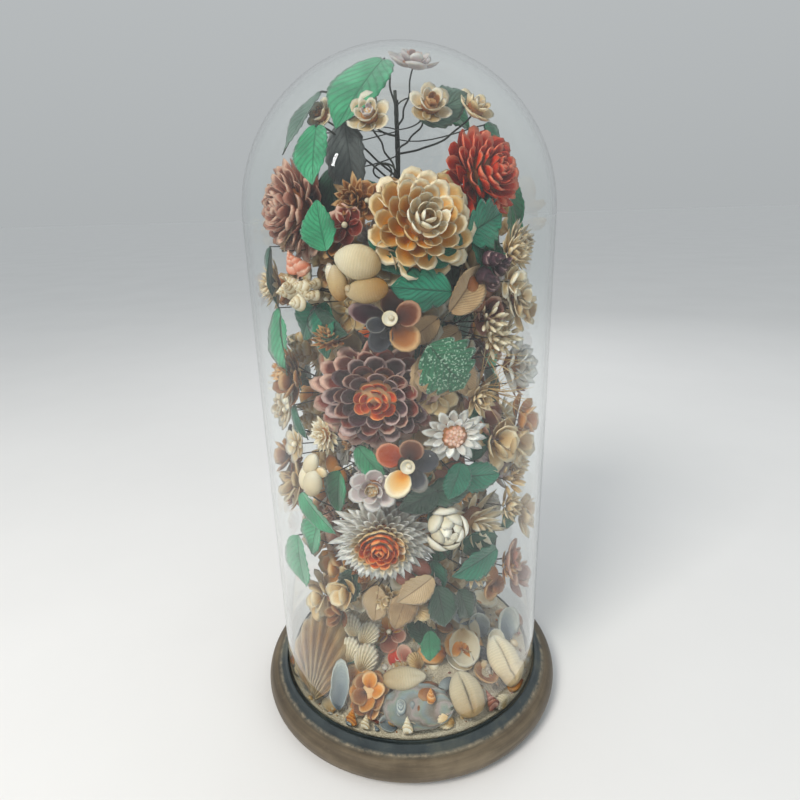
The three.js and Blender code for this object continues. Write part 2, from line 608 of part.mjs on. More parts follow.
const trunk = turned([
  [0, socketFloor + GAP],
  [TRUNK_RADIUS, socketFloor + GAP],
  [TRUNK_RADIUS, bedTop + TRUNK_COLLAR],
  [TRUNK_RADIUS * 0.8, trunkTop],
  [0, trunkTop],
], TRUNK_SIDES).rotateZ(radians(TRUNK_TURN));
// The wires leave the trunk one above the other, in the order of what they carry
wireEnds.sort((a, b) => a.end.z - b.end.z).forEach((wireEnd, i) => {
  const share = i / (wireEnds.length - 1);
  wires.push(wire(wireEnd, THREE.MathUtils.lerp(bedTop + LOWEST_WIRE, trunkTop - HIGHEST_WIRE, share)));
});
addPiece('wire_stems', joined([trunk, ...wires]), wirePaint);

// A shell on the bed stands on the slope under its middle, raised by as much as its lean lowers its edge
for (const [name, [make, half, x, y, faceAzimuth, lift, roll, material]] of Object.entries(BED_SHELLS)) {
  const r = Math.hypot(x, y) * bedScale;
  const step = 3;
  const slope = Math.atan2(bedHeight(r - step) - bedHeight(r + step), 2 * step);
  const normal = vector(x, y, 0).normalize().multiplyScalar(Math.sin(slope)).add(vector(0, 0, Math.cos(slope)));
  const facing = direction(faceAzimuth, lift);
  const rise = 2 * GAP + half * bedScale * Math.sin(normal.angleTo(facing));
  const at = vector(x * bedScale, y * bedScale, bedHeight(r)).addScaledVector(normal, rise);
  const shell = make().scale(bedScale, bedScale, bedScale);
  addPiece(name, shell, material, at, facingTurn(facing, -roll));
}

export default part;
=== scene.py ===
"""The looks of a shell bouquet under a glass dome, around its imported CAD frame.

Working sizes are millimetres, and every mesh is written in metres in the CAD's frame: +Z up, -Y the front.
"""
import math
import random

import bpy
from mathutils import Matrix, Vector


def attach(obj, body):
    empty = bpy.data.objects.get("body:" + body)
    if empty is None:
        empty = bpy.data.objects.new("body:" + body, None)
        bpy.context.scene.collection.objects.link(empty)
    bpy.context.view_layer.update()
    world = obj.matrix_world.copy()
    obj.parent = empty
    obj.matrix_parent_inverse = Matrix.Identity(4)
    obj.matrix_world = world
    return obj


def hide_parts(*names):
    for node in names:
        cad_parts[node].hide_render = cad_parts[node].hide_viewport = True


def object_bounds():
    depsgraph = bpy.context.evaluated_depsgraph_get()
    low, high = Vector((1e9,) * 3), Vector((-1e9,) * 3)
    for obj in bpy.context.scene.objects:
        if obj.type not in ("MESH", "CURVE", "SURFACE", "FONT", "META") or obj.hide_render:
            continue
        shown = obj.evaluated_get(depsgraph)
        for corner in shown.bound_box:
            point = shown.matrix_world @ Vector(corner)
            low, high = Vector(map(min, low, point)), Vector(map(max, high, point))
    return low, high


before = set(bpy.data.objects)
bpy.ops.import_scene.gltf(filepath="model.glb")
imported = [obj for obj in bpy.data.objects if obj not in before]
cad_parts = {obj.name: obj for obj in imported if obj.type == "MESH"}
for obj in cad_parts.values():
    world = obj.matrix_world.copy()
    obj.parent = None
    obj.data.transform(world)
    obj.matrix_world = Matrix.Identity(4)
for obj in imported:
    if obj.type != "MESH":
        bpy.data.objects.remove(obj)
cad_low, cad_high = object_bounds()

MM = 0.001
DRAW = random.Random(20)

# The height comes from the frame, and the other sizes are as in the CAD
DOME_TOP = round(cad_high[2] / MM, 1)
DOME_RADIUS, DOME_WALL = 114.0, 3.0
DOME_SPRING = DOME_TOP - DOME_RADIUS
RIM = 24.3
BED_RADIUS, BED_FLOOR, BED_TOP = 108.0, 28.3, 56.3
TRUNK_FOOT, TRUNK_TOP = 39, DOME_TOP - 28
# How far behind a flower or along a leaf its wire begins to bend
FLOWER_LEAD, LEAF_LEAD = 22, 7
# Nothing under the glass comes nearer to it than this
GLASS_GAP = 1.5
# The golden angle spreads petals evenly round a head
GOLDEN, GOLDEN_DEGREES = 2.4, 137.5
# Radius and height of each step of the bed, as shares
BED_STEPS = [(1, 0.1), (0.9, 0.3), (0.68, 0.58), (0.4, 0.86), (0.14, 1)]


# Places

def direction(azimuth, lift):
    a, e = math.radians(azimuth), math.radians(lift)
    return Vector((math.sin(a) * math.cos(e), -math.cos(a) * math.cos(e), math.sin(e)))


def place(azimuth, height, reach):
    a = math.radians(azimuth)
    return Vector((math.sin(a) * reach, -math.cos(a) * reach, height))


def turned(angle, axis):
    return Matrix.Rotation(angle, 4, axis)


def spin(degrees, axis):
    return turned(math.radians(degrees), axis)


def shift(*at):
    return Matrix.Translation(at)


def pose(at, facing, roll=0.0):
    """Local +Z goes to the facing direction and +Y as near upright as it can, then it rolls."""
    side = Vector((0, 0, 1)).cross(facing).normalized()
    up = facing.cross(side)
    upright = Matrix((side, up, facing)).transposed().to_4x4()
    return shift(*at) @ upright @ spin(roll, "Z")


def bed_height(r):
    share = min(r / BED_RADIUS, 1)
    for (outer, low), (inner, high) in zip(BED_STEPS, BED_STEPS[1:]):
        if share >= inner:
            up = low + (outer - share) / (outer - inner) * (high - low)
            return BED_FLOOR + (BED_TOP - BED_FLOOR) * up
    return BED_TOP


def wobble(p, size, seed=0.0):
    """A smooth small offset that depends on the place alone."""
    return (math.sin(p[0] / size + seed) * math.cos(p[1] / size * 1.3 + seed * 2.1)
            + math.sin(p[2] / size * 0.9 + seed * 1.7)) * 0.5


# Meshes

class Body:
    """Vertices in millimetres, faces, the material of each face and the tone of each vertex.

    A tone is (one number for the petal, how far along it, how far across it, inner side)."""

    def __init__(self):
        self.verts, self.faces, self.mats, self.tones = [], [], [], []

    def add(self, points, faces, tones, mat, matrix=None):
        start = len(self.verts)
        self.verts += [tuple(matrix @ Vector(p)) if matrix else tuple(p) for p in points]
        self.faces += [tuple(start + i for i in f) for f in faces]
        self.mats += [mat] * len(faces)
        self.tones += tones

    def join(self, other):
        self.add(other.verts, other.faces, other.tones, 0)
        self.mats[-len(other.mats):] = other.mats


def make(name, body, materials, slot, *nodes):
    """Makes a piece of a body, in the place of the nodes named."""
    mesh = bpy.data.meshes.new(name)
    mesh.from_pydata([(x * MM, y * MM, z * MM) for x, y, z in body.verts], [], body.faces)
    for m in materials:
        mesh.materials.append(m)
    mesh.polygons.foreach_set("material_index", body.mats)
    mesh.polygons.foreach_set("use_smooth", [True] * len(body.faces))
    tone = mesh.attributes.new("tone", "FLOAT_COLOR", "POINT")
    tone.data.foreach_set("color", [x for t in body.tones for x in t])
    mesh.validate()
    mesh.update()
    piece = bpy.data.objects.new(name, mesh)
    bpy.context.scene.collection.objects.link(piece)
    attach(piece, "root")
    if nodes:
        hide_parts(*nodes)


def settle(body, matrix):
    """Moves a body to its place, and keeps every point of it clear of the glass."""
    most = DOME_RADIUS - DOME_WALL - GLASS_GAP
    made = []
    for v in body.verts:
        p = matrix @ Vector(v)
        centre = Vector((0, 0, min(p.z, DOME_SPRING)))
        away = p - centre
        if away.length > most:
            p = centre + away * (most / away.length)
        made.append(tuple(p))
    body.verts = made


def grid_faces(columns, rows, closed=False):
    """Quads of a grid whose vertices run row by row."""
    faces = []
    for j in range(rows - 1):
        for i in range(columns if closed else columns - 1):
            a, b = j * columns + i, j * columns + (i + 1) % columns
            faces.append((a, b, b + columns, a + columns))
    return faces


def sheet(body, point, columns, rows, thick, mat, matrix, key):
    """A closed thin sheet from point(u, v), u from -1 to 1 and v from 0 to 1, with a sharp rim all round."""
    top, tones = [], []
    for j in range(rows + 1):
        for i in range(columns + 1):
            u, v = -1 + 2 * i / columns, j / rows
            top.append(Vector(point(u, v)))
            tones.append((key, v, abs(u), 1.0))
    wide = columns + 1
    points, under = list(top), {}
    for j in range(rows + 1):
        for i in range(wide):
            k = j * wide + i
            if 0 < j < rows and 0 < i < columns:
                across = top[k + 1] - top[k - 1]
                along = top[k + wide] - top[k - wide]
                normal = across.cross(along).normalized()
                under[k] = len(points)
                points.append(top[k] - normal * thick)
                tones.append((key, j / rows, abs(-1 + 2 * i / columns), 0.0))
            else:
                under[k] = k
    faces = grid_faces(wide, rows + 1)
    faces += [tuple(under[i] for i in reversed(f)) for f in faces]
    body.add(points, faces, tones, mat, matrix)


def petal(body, matrix, length, width, mat=0, bowl=0.3, curl=0.0, sharp=0.0, spread=1.25, across=6, along=4,
          thick=0.5, ruffle=0.0):
    """A shell valve as a petal: it grows out of its root along +Y, and its hollow side faces +Z."""
    key = DRAW.random()

    def radius(u):
        return math.cos(u * spread) * ((1 - sharp) + sharp * (1 - abs(u)))

    half = max(radius(i / 20) * math.sin(i / 20 * spread) for i in range(21))
    waves = key * 6.28

    def point(u, v):
        v = 0.05 + 0.95 * v
        rho = v * radius(u)
        x = rho * math.sin(u * spread) / half * width / 2
        y = rho * math.cos(u * spread) * length
        dish = min(1.0, (2 * x / width) ** 2 + (2 * y / length - 1) ** 2)
        z = bowl * length * 0.5 * (dish - 1) + curl * length * (y / length) ** 2
        z += ruffle * length * v * v * math.sin(u * 5 + waves)
        return x, y, z

    sheet(body, point, across, along, thick, mat, matrix, key)


def ring(body, matrix, count, root, height, length, width, tilt, mat, phase, **form):
    """Petals round the flower's axis. Tilt is 0 for a flat petal and 90 for an upright one."""
    for k in range(count):
        jitter = [DRAW.random() - 0.5 for _ in range(5)]
        turn = 2 * math.pi * (k + phase + jitter[0] * 0.35) / count
        grow = 1 + 0.16 * jitter[1]
        m = (matrix @ turned(turn, "Z")
             @ shift(0, root, height * (1 + 0.06 * jitter[2]))
             @ spin(tilt + 10 * jitter[3], "X")
             @ spin(16 * jitter[4], "Y"))
        petal(body, m, length * grow, width * grow, mat, **form)


def close_rings(body, points, tones, across, along, mat, matrix, turn_over=False):
    """Faces for rings of points between a first point and a last one."""
    last, top = len(points) - 1, 1 + (along - 2) * across
    faces = [(0, 1 + (i + 1) % across, 1 + i) for i in range(across)]
    faces += [tuple(1 + k for k in f) for f in grid_faces(across, along - 1, True)]
    faces += [(last, top + i, top + (i + 1) % across) for i in range(across)]
    if turn_over:
        faces = [tuple(reversed(f)) for f in faces]
    body.add(points, faces, tones, mat, matrix)


def bead(body, matrix, radius, mat=0, across=10, along=7):
    """A small round closed bead."""
    key = DRAW.random()
    points, tones = [(0, 0, -radius)], [(key, 0, 0, 1)]
    for j in range(1, along):
        a = math.pi * j / along
        for i in range(across):
            t = 2 * math.pi * i / across
            points.append((radius * math.sin(a) * math.cos(t), radius * math.sin(a) * math.sin(t),
                           -radius * math.cos(a)))
            tones.append((key, j / along, abs(1 - 2 * i / across), 1))
    points.append((0, 0, radius))
    tones.append((key, 1, 0, 1))
    close_rings(body, points, tones, across, along, mat, matrix)


def lathe(body, profile, segments, mat=0, matrix=None, bump=None):
    """A solid turned about Z. The profile runs up the outside, from the axis to the axis."""
    key = 0.5
    points, tones = [], []
    rows = profile[1:-1]
    for j, (r, z) in enumerate(rows):
        for i in range(segments):
            t = 2 * math.pi * i / segments
            p = Vector((r * math.cos(t), r * math.sin(t), z))
            points.append(bump(p) if bump else p)
            tones.append((key, j / max(1, len(rows) - 1), i / segments, 1))
    low, high = len(points), len(points) + 1
    points += [Vector((0, 0, profile[0][1])), Vector((0, 0, profile[-1][1]))]
    tones += [(key, 0, 0, 1), (key, 1, 0, 1)]
    faces = grid_faces(segments, len(rows), True)
    faces += [(low, (i + 1) % segments, i) for i in range(segments)]
    top = (len(rows) - 1) * segments
    faces += [(high, top + i, top + (i + 1) % segments) for i in range(segments)]
    body.add(points, faces, tones, mat, matrix)


def tube(body, path, radius, mat=0, sides=6, taper=1.0):
    """A round closed tube along points, thinner by its taper at its end."""
    key = 0.5
    points, tones = [], []
    n = len(path)
    side = None
    for j, p in enumerate(path):
        ahead = (path[min(j + 1, n - 1)] - path[max(j - 1, 0)]).normalized()
        if side is None:
            side = ahead.orthogonal().normalized()
        side = (side - ahead * side.dot(ahead)).normalized()
        other = ahead.cross(side)
        r = radius * (1 + (taper - 1) * j / (n - 1))
        for i in range(sides):
            t = 2 * math.pi * i / sides
            points.append(p + side * (r * math.cos(t)) + other * (r * math.sin(t)))
            tones.append((key, j / (n - 1), i / sides, 1))
    faces = grid_faces(sides, n, True)
    faces.append(tuple(reversed(range(sides))))
    faces.append(tuple((n - 1) * sides + i for i in range(sides)))
    body.add(points, faces, tones, mat)


def bezier(a, b, c, d, steps):
    made = []
    for i in range(steps + 1):
        t = i / steps
        s = 1 - t
        made.append(a * s ** 3 + b * (3 * s * s * t) + c * (3 * s * t * t) + d * t ** 3)
    return made


# Materials

def srgb(code):
    """A linear colour from a hexadecimal one, such as e8b076."""
    made = []
    for at in (0, 2, 4):
        c = int(code[at:at + 2], 16) / 255
        made.append(c / 12.92 if c <= 0.04045 else ((c + 0.055) / 1.055) ** 2.4)
    return (*made, 1.0)


def plain(value):
    return srgb(value) if isinstance(value, str) else value


class Nodes:
    """A short way to write a node tree. A colour may be a hexadecimal word."""

    def __init__(self, name):
        self.material = bpy.data.materials.new(name)
        self.material.use_nodes = True
        self.tree = self.material.node_tree
        self.shader = self.tree.nodes["Principled BSDF"]
        self.output = self.tree.nodes["Material Output"]

    def node(self, kind, inputs=None, **settings):
        made = self.tree.nodes.new(kind)
        for key, value in settings.items():
            setattr(made, key, value)
        for key, value in (inputs or {}).items():
            self.put(made.inputs[key], value)
        return made

    def put(self, socket, value):
        if isinstance(value, bpy.types.NodeSocket):
            self.tree.links.new(value, socket)
        else:
            socket.default_value = plain(value)

    def math(self, operation, a, b=0.0, clamp=False):
        return self.node("ShaderNodeMath", {0: a, 1: b}, operation=operation, use_clamp=clamp).outputs[0]

    def plus(self, a, b):
        return self.math("ADD", a, b)

    def times(self, a, b, clamp=False):
        return self.math("MULTIPLY", a, b, clamp)

    def over(self, a, b):
        """How far a is over b, and 0 where it is under."""
        return self.math("SUBTRACT", a, b, True)

    def fit(self, a, by, start):
        """start + a * by"""
        return self.node("ShaderNodeMath", {0: a, 1: by, 2: start}, operation="MULTIPLY_ADD").outputs[0]

    def noise(self, vector, scale, detail=4.0, rough=0.55):
        return self.node("ShaderNodeTexNoise", {"Vector": vector, "Scale": scale, "Detail": detail,
                                                "Roughness": rough}).outputs["Fac"]

    def ramp(self, fac, stops):
        n = self.node("ShaderNodeValToRGB", {"Fac": fac})
        band = n.color_ramp
        while len(band.elements) < len(stops):
            band.elements.new(0.5)
        for element, (at, colour) in zip(band.elements, stops.items()):
            element.position = at
            element.color = plain(colour)
        return n.outputs["Color"]

    def mix(self, fac, a, b):
        n = self.node("ShaderNodeMix", data_type="RGBA")
        for name, value in (("Factor", fac), ("A", a), ("B", b)):
            self.put(n.inputs[name], value)
        return n.outputs["Result"]

    def bump(self, height, strength, distance):
        return self.node("ShaderNodeBump", {"Height": height, "Strength": strength,
                                            "Distance": distance}).outputs["Normal"]

    def tone(self):
        """Petal key, along, across, inner side."""
        a = self.node("ShaderNodeAttribute", attribute_name="tone")
        s = self.node("ShaderNodeSeparateColor", {"Color": a.outputs["Color"]})
        return (*s.outputs, a.outputs["Alpha"])

    def place(self):
        return self.node("ShaderNodeTexCoord").outputs["Object"]

    def set(self, **values):
        for key, value in values.items():
            self.put(self.shader.inputs[key.replace("_", " ")], value)


def shell_material(name, colours, back=None, rough=0.35, lines=26.0, mottle=0.5, clear=0.0, ribs=0.0):
    """A thin shell valve: growth lines, a coloured root that is partly dye and partly painted shade from deep
    among the petals, a pale rim and uneven stain.
    """
    n = Nodes(name)
    key, along, across, inner = n.tone()
    place = n.place()
    cloud = n.noise(place, 90.0, 5.0)
    fine = n.noise(place, 700.0, 4.0)
    root, middle, tip, rim = colours.split()
    dark = [c * 0.55 for c in srgb(middle)[:3]] + [1]
    where = n.plus(n.plus(along, n.fit(cloud, 0.34, -0.17)), n.fit(key, 0.3, -0.15))
    # Darker at the root: partly the shell's dye, partly painted shade where the petals overlap.
    colour = n.ramp(where, {0.05: root, 0.45: middle, 0.8: tip, 0.97: rim})
    growth = n.math("SINE", n.times(n.plus(along, n.times(cloud, 0.06)), lines * 6.28))
    growth = n.fit(growth, 0.5, 0.5)
    colour = n.mix(n.times(growth, 0.24), colour, dark)
    colour = n.mix(n.times(n.over(fine, 0.45), mottle), colour, dark)
    height = n.plus(n.times(growth, 0.5), fine)
    if back:
        colour = n.mix(inner, back, colour)
    if ribs:
        rib = n.math("COSINE", n.times(across, ribs * math.pi))
        colour = n.mix(n.times(n.over(0.35, rib), 0.5), colour, dark)
        height = n.plus(height, n.times(rib, 1.5))
    colour = n.node("ShaderNodeHueSaturation", {"Saturation": 1.22, "Value": n.fit(key, 0.35, 0.73),
                                                "Color": colour}).outputs["Color"]
    n.set(Base_Color=colour, Normal=n.bump(height, 0.35, 0.0004), Roughness=n.fit(fine, 0.3, rough - 0.12),
          Coat_Weight=0.12, Coat_Roughness=0.18, Subsurface_Weight=0.12 + clear * 0.3,
          Subsurface_Radius=(0.004, 0.0025, 0.0015), Subsurface_Scale=0.4, Transmission_Weight=clear)
    return n.material


# Root, middle, tip and rim of each kind of shell, and what else sets it apart. The dark roots are partly
# painted shade from where the petals overlap.
SHELL_LOOKS = {
    "peach": ("cc7034 e8b076 f2d4a6 f9eed6", dict(back="e0c296")),
    "cream_petals": ("c49c6c e2cca8 ecdec4 f4eede", {}),
    # The coral's tip colour is partly a painted highlight.
    "coral": ("801e1a c64238 dc6658 ea9e8c", dict(rough=0.42)),
    "mauve": ("5c2e28 966256 b6887a d8baaa", {}),
    "wine": ("2c1214 682e2a 8e5048 e4c2b4", dict(rough=0.34)),
    "dusk": ("160c16 341e28 5a3e46 ceb6b2", dict(rough=0.32)),
    "ember": ("961e0e d64e2e e6764e f0b28c", {}),
    "white": ("9e9488 d6d0c6 e6e2da f2f0ea", {}),
    "rust": ("702e22 a85442 c0745e dca892", dict(rough=0.25)),
    "chalk": ("beac9e e4ded6 f0eee8 f8f7f3", dict(mottle=0.3)),
    "rosy": ("ce826e e0a08c e8bcaa f0d6c8", {}),
    "amber": ("b88c5c dec49c ecdcc2 f5eee0", dict(rough=0.2, clear=0.2)),
    "lilac": ("b09694 d6c6c8 e4dad8 f2eeea", dict(rough=0.2, clear=0.2)),
    "tan": ("9e764e d4b68c e4ceaa f0e2c8", dict(rough=0.45)),
    "brown": ("46281c 82543a a67858 c8a886", {}),
    "umber": ("22100e 4a2820 684032 b08e7a", dict(rough=0.28)),
    "orange": ("924c26 ce8a54 dea876 eacaa4", {}),
    "bone": ("b0946e e0d2b6 ece4d0 f4f0e4", dict(rough=0.3, mottle=0.3)),
    "nacre": ("4e5862 7e888e a4acac ced2cc", dict(rough=0.16, lines=14, mottle=0.4)),
    "navy": ("16161c 2a2c34 484a50 8c8a84", dict(rough=0.2, lines=12)),
    "ribbed": ("c4b294 aa8660 ceb894 f0e6ce", dict(lines=5, mottle=0.3, ribs=10)),
    "cockle": ("ceb284 e8dabe f2ead6 f8f4e8", dict(lines=6, mottle=0.3, ribs=12)),
}
SHELLS = {look: shell_material(look + "_valves", colours, **more)
          for look, (colours, more) in SHELL_LOOKS.items()}


def leaf_material(name, colours, rough=0.42, glitter=0.0, veins=9.0):
    """Dyed satin ribbon, pressed with a rib and side veins."""
    n = Nodes(name)
    key, along, across, _ = n.tone()
    place = n.place()
    dark, main, light = colours.split()
    cloud = n.noise(place, 60.0, 4.0)
    colour = n.ramp(n.plus(n.times(cloud, 0.8), n.times(key, 0.25)), {0.25: dark, 0.5: main, 0.8: light})
    lean = n.math("SUBTRACT", n.times(along, veins), n.times(across, veins * 0.35))
    vein = n.math("POWER", n.math("ABSOLUTE", n.math("SINE", n.times(lean, 3.14159))), 0.35)
    pressed = n.times(vein, n.math("MINIMUM", n.times(across, 14.0), 1.0))
    colour = n.mix(n.over(1.0, pressed), colour, dark)
    threads = n.node("ShaderNodeTexWave", {"Vector": place, "Scale": 900.0, "Distortion": 1.5},
                     bands_direction="DIAGONAL").outputs["Fac"]
    height = n.plus(n.times(pressed, 1.6), n.times(threads, 0.15))
    if glitter:
        spark = n.node("ShaderNodeTexVoronoi", {"Vector": place, "Scale": 1000.0})
        fleck = n.math("GREATER_THAN", spark.outputs["Color"], 0.72)
        colour = n.mix(n.times(fleck, glitter), colour, "bad6be")
        height = n.plus(height, n.times(spark.outputs["Distance"], 2.0))
        n.set(Metallic=0.25)
    n.set(Base_Color=colour, Normal=n.bump(height, 0.5, 0.0005), Roughness=rough, Sheen_Weight=0.3,
          Sheen_Roughness=0.4)
    return n.material


# Dark, main and light colour of each leaf, and what else sets it apart
RIBBONS = {
    "green": ("185c3e 349468 60ba8e", {}),
    "teal": ("063c2c 0e6850 248c6c", {}),
    "grey": ("2e483c 527062 789282", {}),
    "dark": ("122c22 224838 3c6450", {}),
    "glitter": ("0e3c28 246c4a 468c64", dict(rough=0.3, glitter=0.62)),
    "tan": ("76583a b09068 ccb28c", dict(rough=0.6, veins=16.0)),
    "smoke": ("323636 545a5a 767c7a", dict(rough=0.5)),
}
LEAF_LOOKS = {look: leaf_material(look + "_satin", colours, **more)
              for look, (colours, more) in RIBBONS.items()}


def wire_material():
    n = Nodes("wrapped_wire")
    place = n.place()
    twist = n.node("ShaderNodeTexWave", {"Vector": place, "Scale": 420.0, "Distortion": 2.0},
                   bands_direction="Z").outputs["Fac"]
    n.set(Base_Color=n.ramp(n.noise(place, 120.0), {0.3: "161814", 0.7: "34382e"}),
          Normal=n.bump(twist, 0.5, 0.0003), Roughness=0.62)
    return n.material


def wood_material():
    """Ebonised wood: grey-brown on the side; blue-black above the cove line, where the blue is a painted sky
    reflection on the upward faces; and a pale scuffed band along the edge over it, partly bare worn wood and
    partly a painted highlight.
    """
    cove_low, lit_worn_edge_radius = 0.0236, 0.1225
    n = Nodes("ebonised_wood")
    place = n.place()
    x, y, z = n.node("ShaderNodeSeparateXYZ", {"Vector": place}).outputs
    radius = n.math("SQRT", n.plus(n.times(x, x), n.times(y, y)))
    rings = n.node("ShaderNodeCombineXYZ", {"X": n.times(radius, 60.0), "Y": n.times(x, 4.0),
                                             "Z": n.times(z, 60.0)}).outputs[0]
    grain = n.noise(rings, 3.0, 6.0, 0.6)
    stain = n.noise(place, 22.0, 6.0, 0.62)
    scuff = n.noise(place, 160.0, 6.0, 0.7)
    low = n.ramp(n.plus(n.times(grain, 0.6), n.times(stain, 0.5)),
                 {0.3: "302921", 0.55: "5c5141", 0.8: "887a64"})
    # Blue-grey above the cove line: the dark ebonising, tinted blue as a painted sky reflection on the upward
    # faces.
    high = n.ramp(stain, {0.3: "1e2529", 0.55: "3a4244", 0.8: "626458"})
    colour = n.mix(n.times(n.math("SUBTRACT", z, cove_low), 900.0, True), low, high)
    # A pale band along the edge over the cove: scuffed bare wood, and partly a painted highlight along the
    # arris.
    off = n.math("ABSOLUTE", n.math("SUBTRACT", radius, lit_worn_edge_radius))
    lit_worn_edge = n.over(1.0, n.times(off, 500.0, True))
    colour = n.mix(n.times(lit_worn_edge, n.times(n.over(scuff, 0.38), 3.4, True)), colour, "968a74")
    speck = n.times(n.over(scuff, 0.6), 4.0, True)
    colour = n.mix(n.times(speck, 0.5), colour, "807460")
    n.set(Base_Color=colour, Normal=n.bump(n.plus(grain, scuff), 0.3, 0.0006),
          Roughness=n.fit(stain, 0.35, 0.28))
    return n.material


def sand_material():
    n = Nodes("sand_and_plaster")
    place = n.place()
    grains = n.node("ShaderNodeTexVoronoi", {"Vector": place, "Scale": 1100.0}).outputs["Distance"]
    cloud = n.noise(place, 70.0, 5.0)
    colour = n.ramp(n.plus(n.times(grains, 0.5), n.times(cloud, 0.7)),
                    {0.25: "786a56", 0.5: "b6a88e", 0.8: "ded4be"})
    n.set(Base_Color=colour, Normal=n.bump(n.plus(grains, cloud), 0.9, 0.0012), Roughness=0.9)
    return n.material


def glass_material():
    """Clear glass that lets lamps and bounced light through to the bouquet."""
    n = Nodes("clear_glass")
    n.set(Base_Color=(0.975, 0.99, 0.985, 1), Roughness=0.0, IOR=1.46, Transmission_Weight=1.0)
    path = n.node("ShaderNodeLightPath")
    clear = n.node("ShaderNodeBsdfTransparent", {"Color": (0.97, 0.985, 0.98, 1)})
    through = n.math("MAXIMUM", path.outputs["Is Shadow Ray"], path.outputs["Is Diffuse Ray"])
    both = n.node("ShaderNodeMixShader", {"Fac": through, 1: n.shader.outputs["BSDF"],
                                            2: clear.outputs["BSDF"]})
    n.put(n.output.inputs["Surface"], both.outputs["Shader"])
    return n.material


def pearl_material():
    """Mother-of-pearl: blue, green and rose bands."""
    n = Nodes("mother_of_pearl")
    _, along, _, _ = n.tone()
    place = n.place()
    swirl = n.noise(place, 60.0, 3.0)
    bands = n.math("FRACT", n.plus(n.times(along, 3.0), n.times(swirl, 2.2)))
    colour = n.ramp(bands, {0.0: "969a94", 0.25: "94a8ae", 0.45: "9eb0a0", 0.65: "bcaeac", 0.85: "888276",
                            1.0: "969a94"})
    colour = n.mix(n.times(n.noise(place, 200.0), 0.6), colour, "60584e")
    n.set(Base_Color=colour, Normal=n.bump(swirl, 0.25, 0.0008), Roughness=0.14, Metallic=0.25,
          Coat_Weight=0.6, Coat_Roughness=0.08)
    return n.material


WIRE, WOOD, SAND, GLASS = wire_material(), wood_material(), sand_material(), glass_material()
SHELLS["pearl"] = pearl_material()
SHELLS["leaf"] = LEAF_LOOKS["dark"]


# Camera, floor and light

PITCH, ROLL = math.radians(18.43), math.radians(-1.67)
EYE = Vector((-0.0034, -0.453, 0.420))


def camera():
    data = bpy.data.cameras.new("camera")
    data.lens, data.sensor_width = 26.0, 36.0
    cam = bpy.data.objects.new("camera", data)
    bpy.context.scene.collection.objects.link(cam)
    forward = Vector((0, math.cos(PITCH), -math.sin(PITCH)))
    level = Vector((1, 0, 0))
    above = level.cross(forward)
    right = math.cos(ROLL) * level + math.sin(ROLL) * above
    up = -math.sin(ROLL) * level + math.cos(ROLL) * above
    matrix = Matrix((right, up, -forward)).transposed().to_4x4()
    matrix.translation = EYE
    cam.matrix_world = matrix
    bpy.context.scene.camera = cam


def lamp(name, at, size, energy, colour=(1, 1, 1), shines=False):
    """A soft lamp. Only one that shines shows as a highlight on glass."""
    data = bpy.data.lights.new(name, "AREA")
    data.shape = "RECTANGLE"
    data.size, data.size_y = size
    data.energy = energy
    data.color = colour
    made = bpy.data.objects.new(name, data)
    bpy.context.scene.collection.objects.link(made)
    made.visible_glossy = shines
    made.visible_transmission = False
    made.location = at
    made.rotation_euler = (Vector((0, 0, 0.25)) - Vector(at)).to_track_quat("-Z", "Y").to_euler()


def studio():
    mesh = bpy.data.meshes.new("floor")
    mesh.from_pydata([(-30, -30, 0), (30, -30, 0), (30, 30, 0), (-30, 30, 0)], [], [(0, 1, 2, 3)])
    n = Nodes("pale_floor")
    cloud = n.noise(n.place(), 3.0)
    n.set(Base_Color=n.ramp(cloud, {0.3: (0.78, 0.78, 0.78, 1), 0.7: (0.81, 0.81, 0.81, 1)}), Roughness=0.7)
    mesh.materials.append(n.material)
    floor = bpy.data.objects.new("floor", mesh)
    bpy.context.scene.collection.objects.link(floor)
    world = bpy.data.worlds.new("sky")
    bpy.context.scene.world = world
    world.use_nodes = True
    tree = world.node_tree
    sky = tree.nodes["Background"]
    where = tree.nodes.new("ShaderNodeTexCoord")
    split = tree.nodes.new("ShaderNodeSeparateXYZ")
    band = tree.nodes.new("ShaderNodeValToRGB")
    tree.links.new(where.outputs["Generated"], split.inputs[0])
    tree.links.new(split.outputs["Z"], band.inputs["Fac"])
    tree.links.new(band.outputs["Color"], sky.inputs["Color"])
    band.color_ramp.elements[0].color = (0.52, 0.545, 0.555, 1)
    band.color_ramp.elements[1].color = (0.715, 0.749, 0.763, 1)
    sky.inputs["Strength"].default_value = 0.82
    lamp("key", (-0.8, -1.1, 1.5), (0.6, 0.6), 27, (1, 0.95, 0.88))
    lamp("fill", (1.2, -0.9, 0.7), (0.9, 1.2), 2.5, (0.92, 0.96, 1))
    lamp("back", (0.5, 1.3, 1.1), (1.0, 0.8), 3)
    lamp("window", (-1.6, -1.4, 1.9), (0.10, 0.34), 2.2, shines=True)
    bpy.context.scene.view_settings.view_transform = "Standard"


camera()
studio()


# The glass, the base and the feet

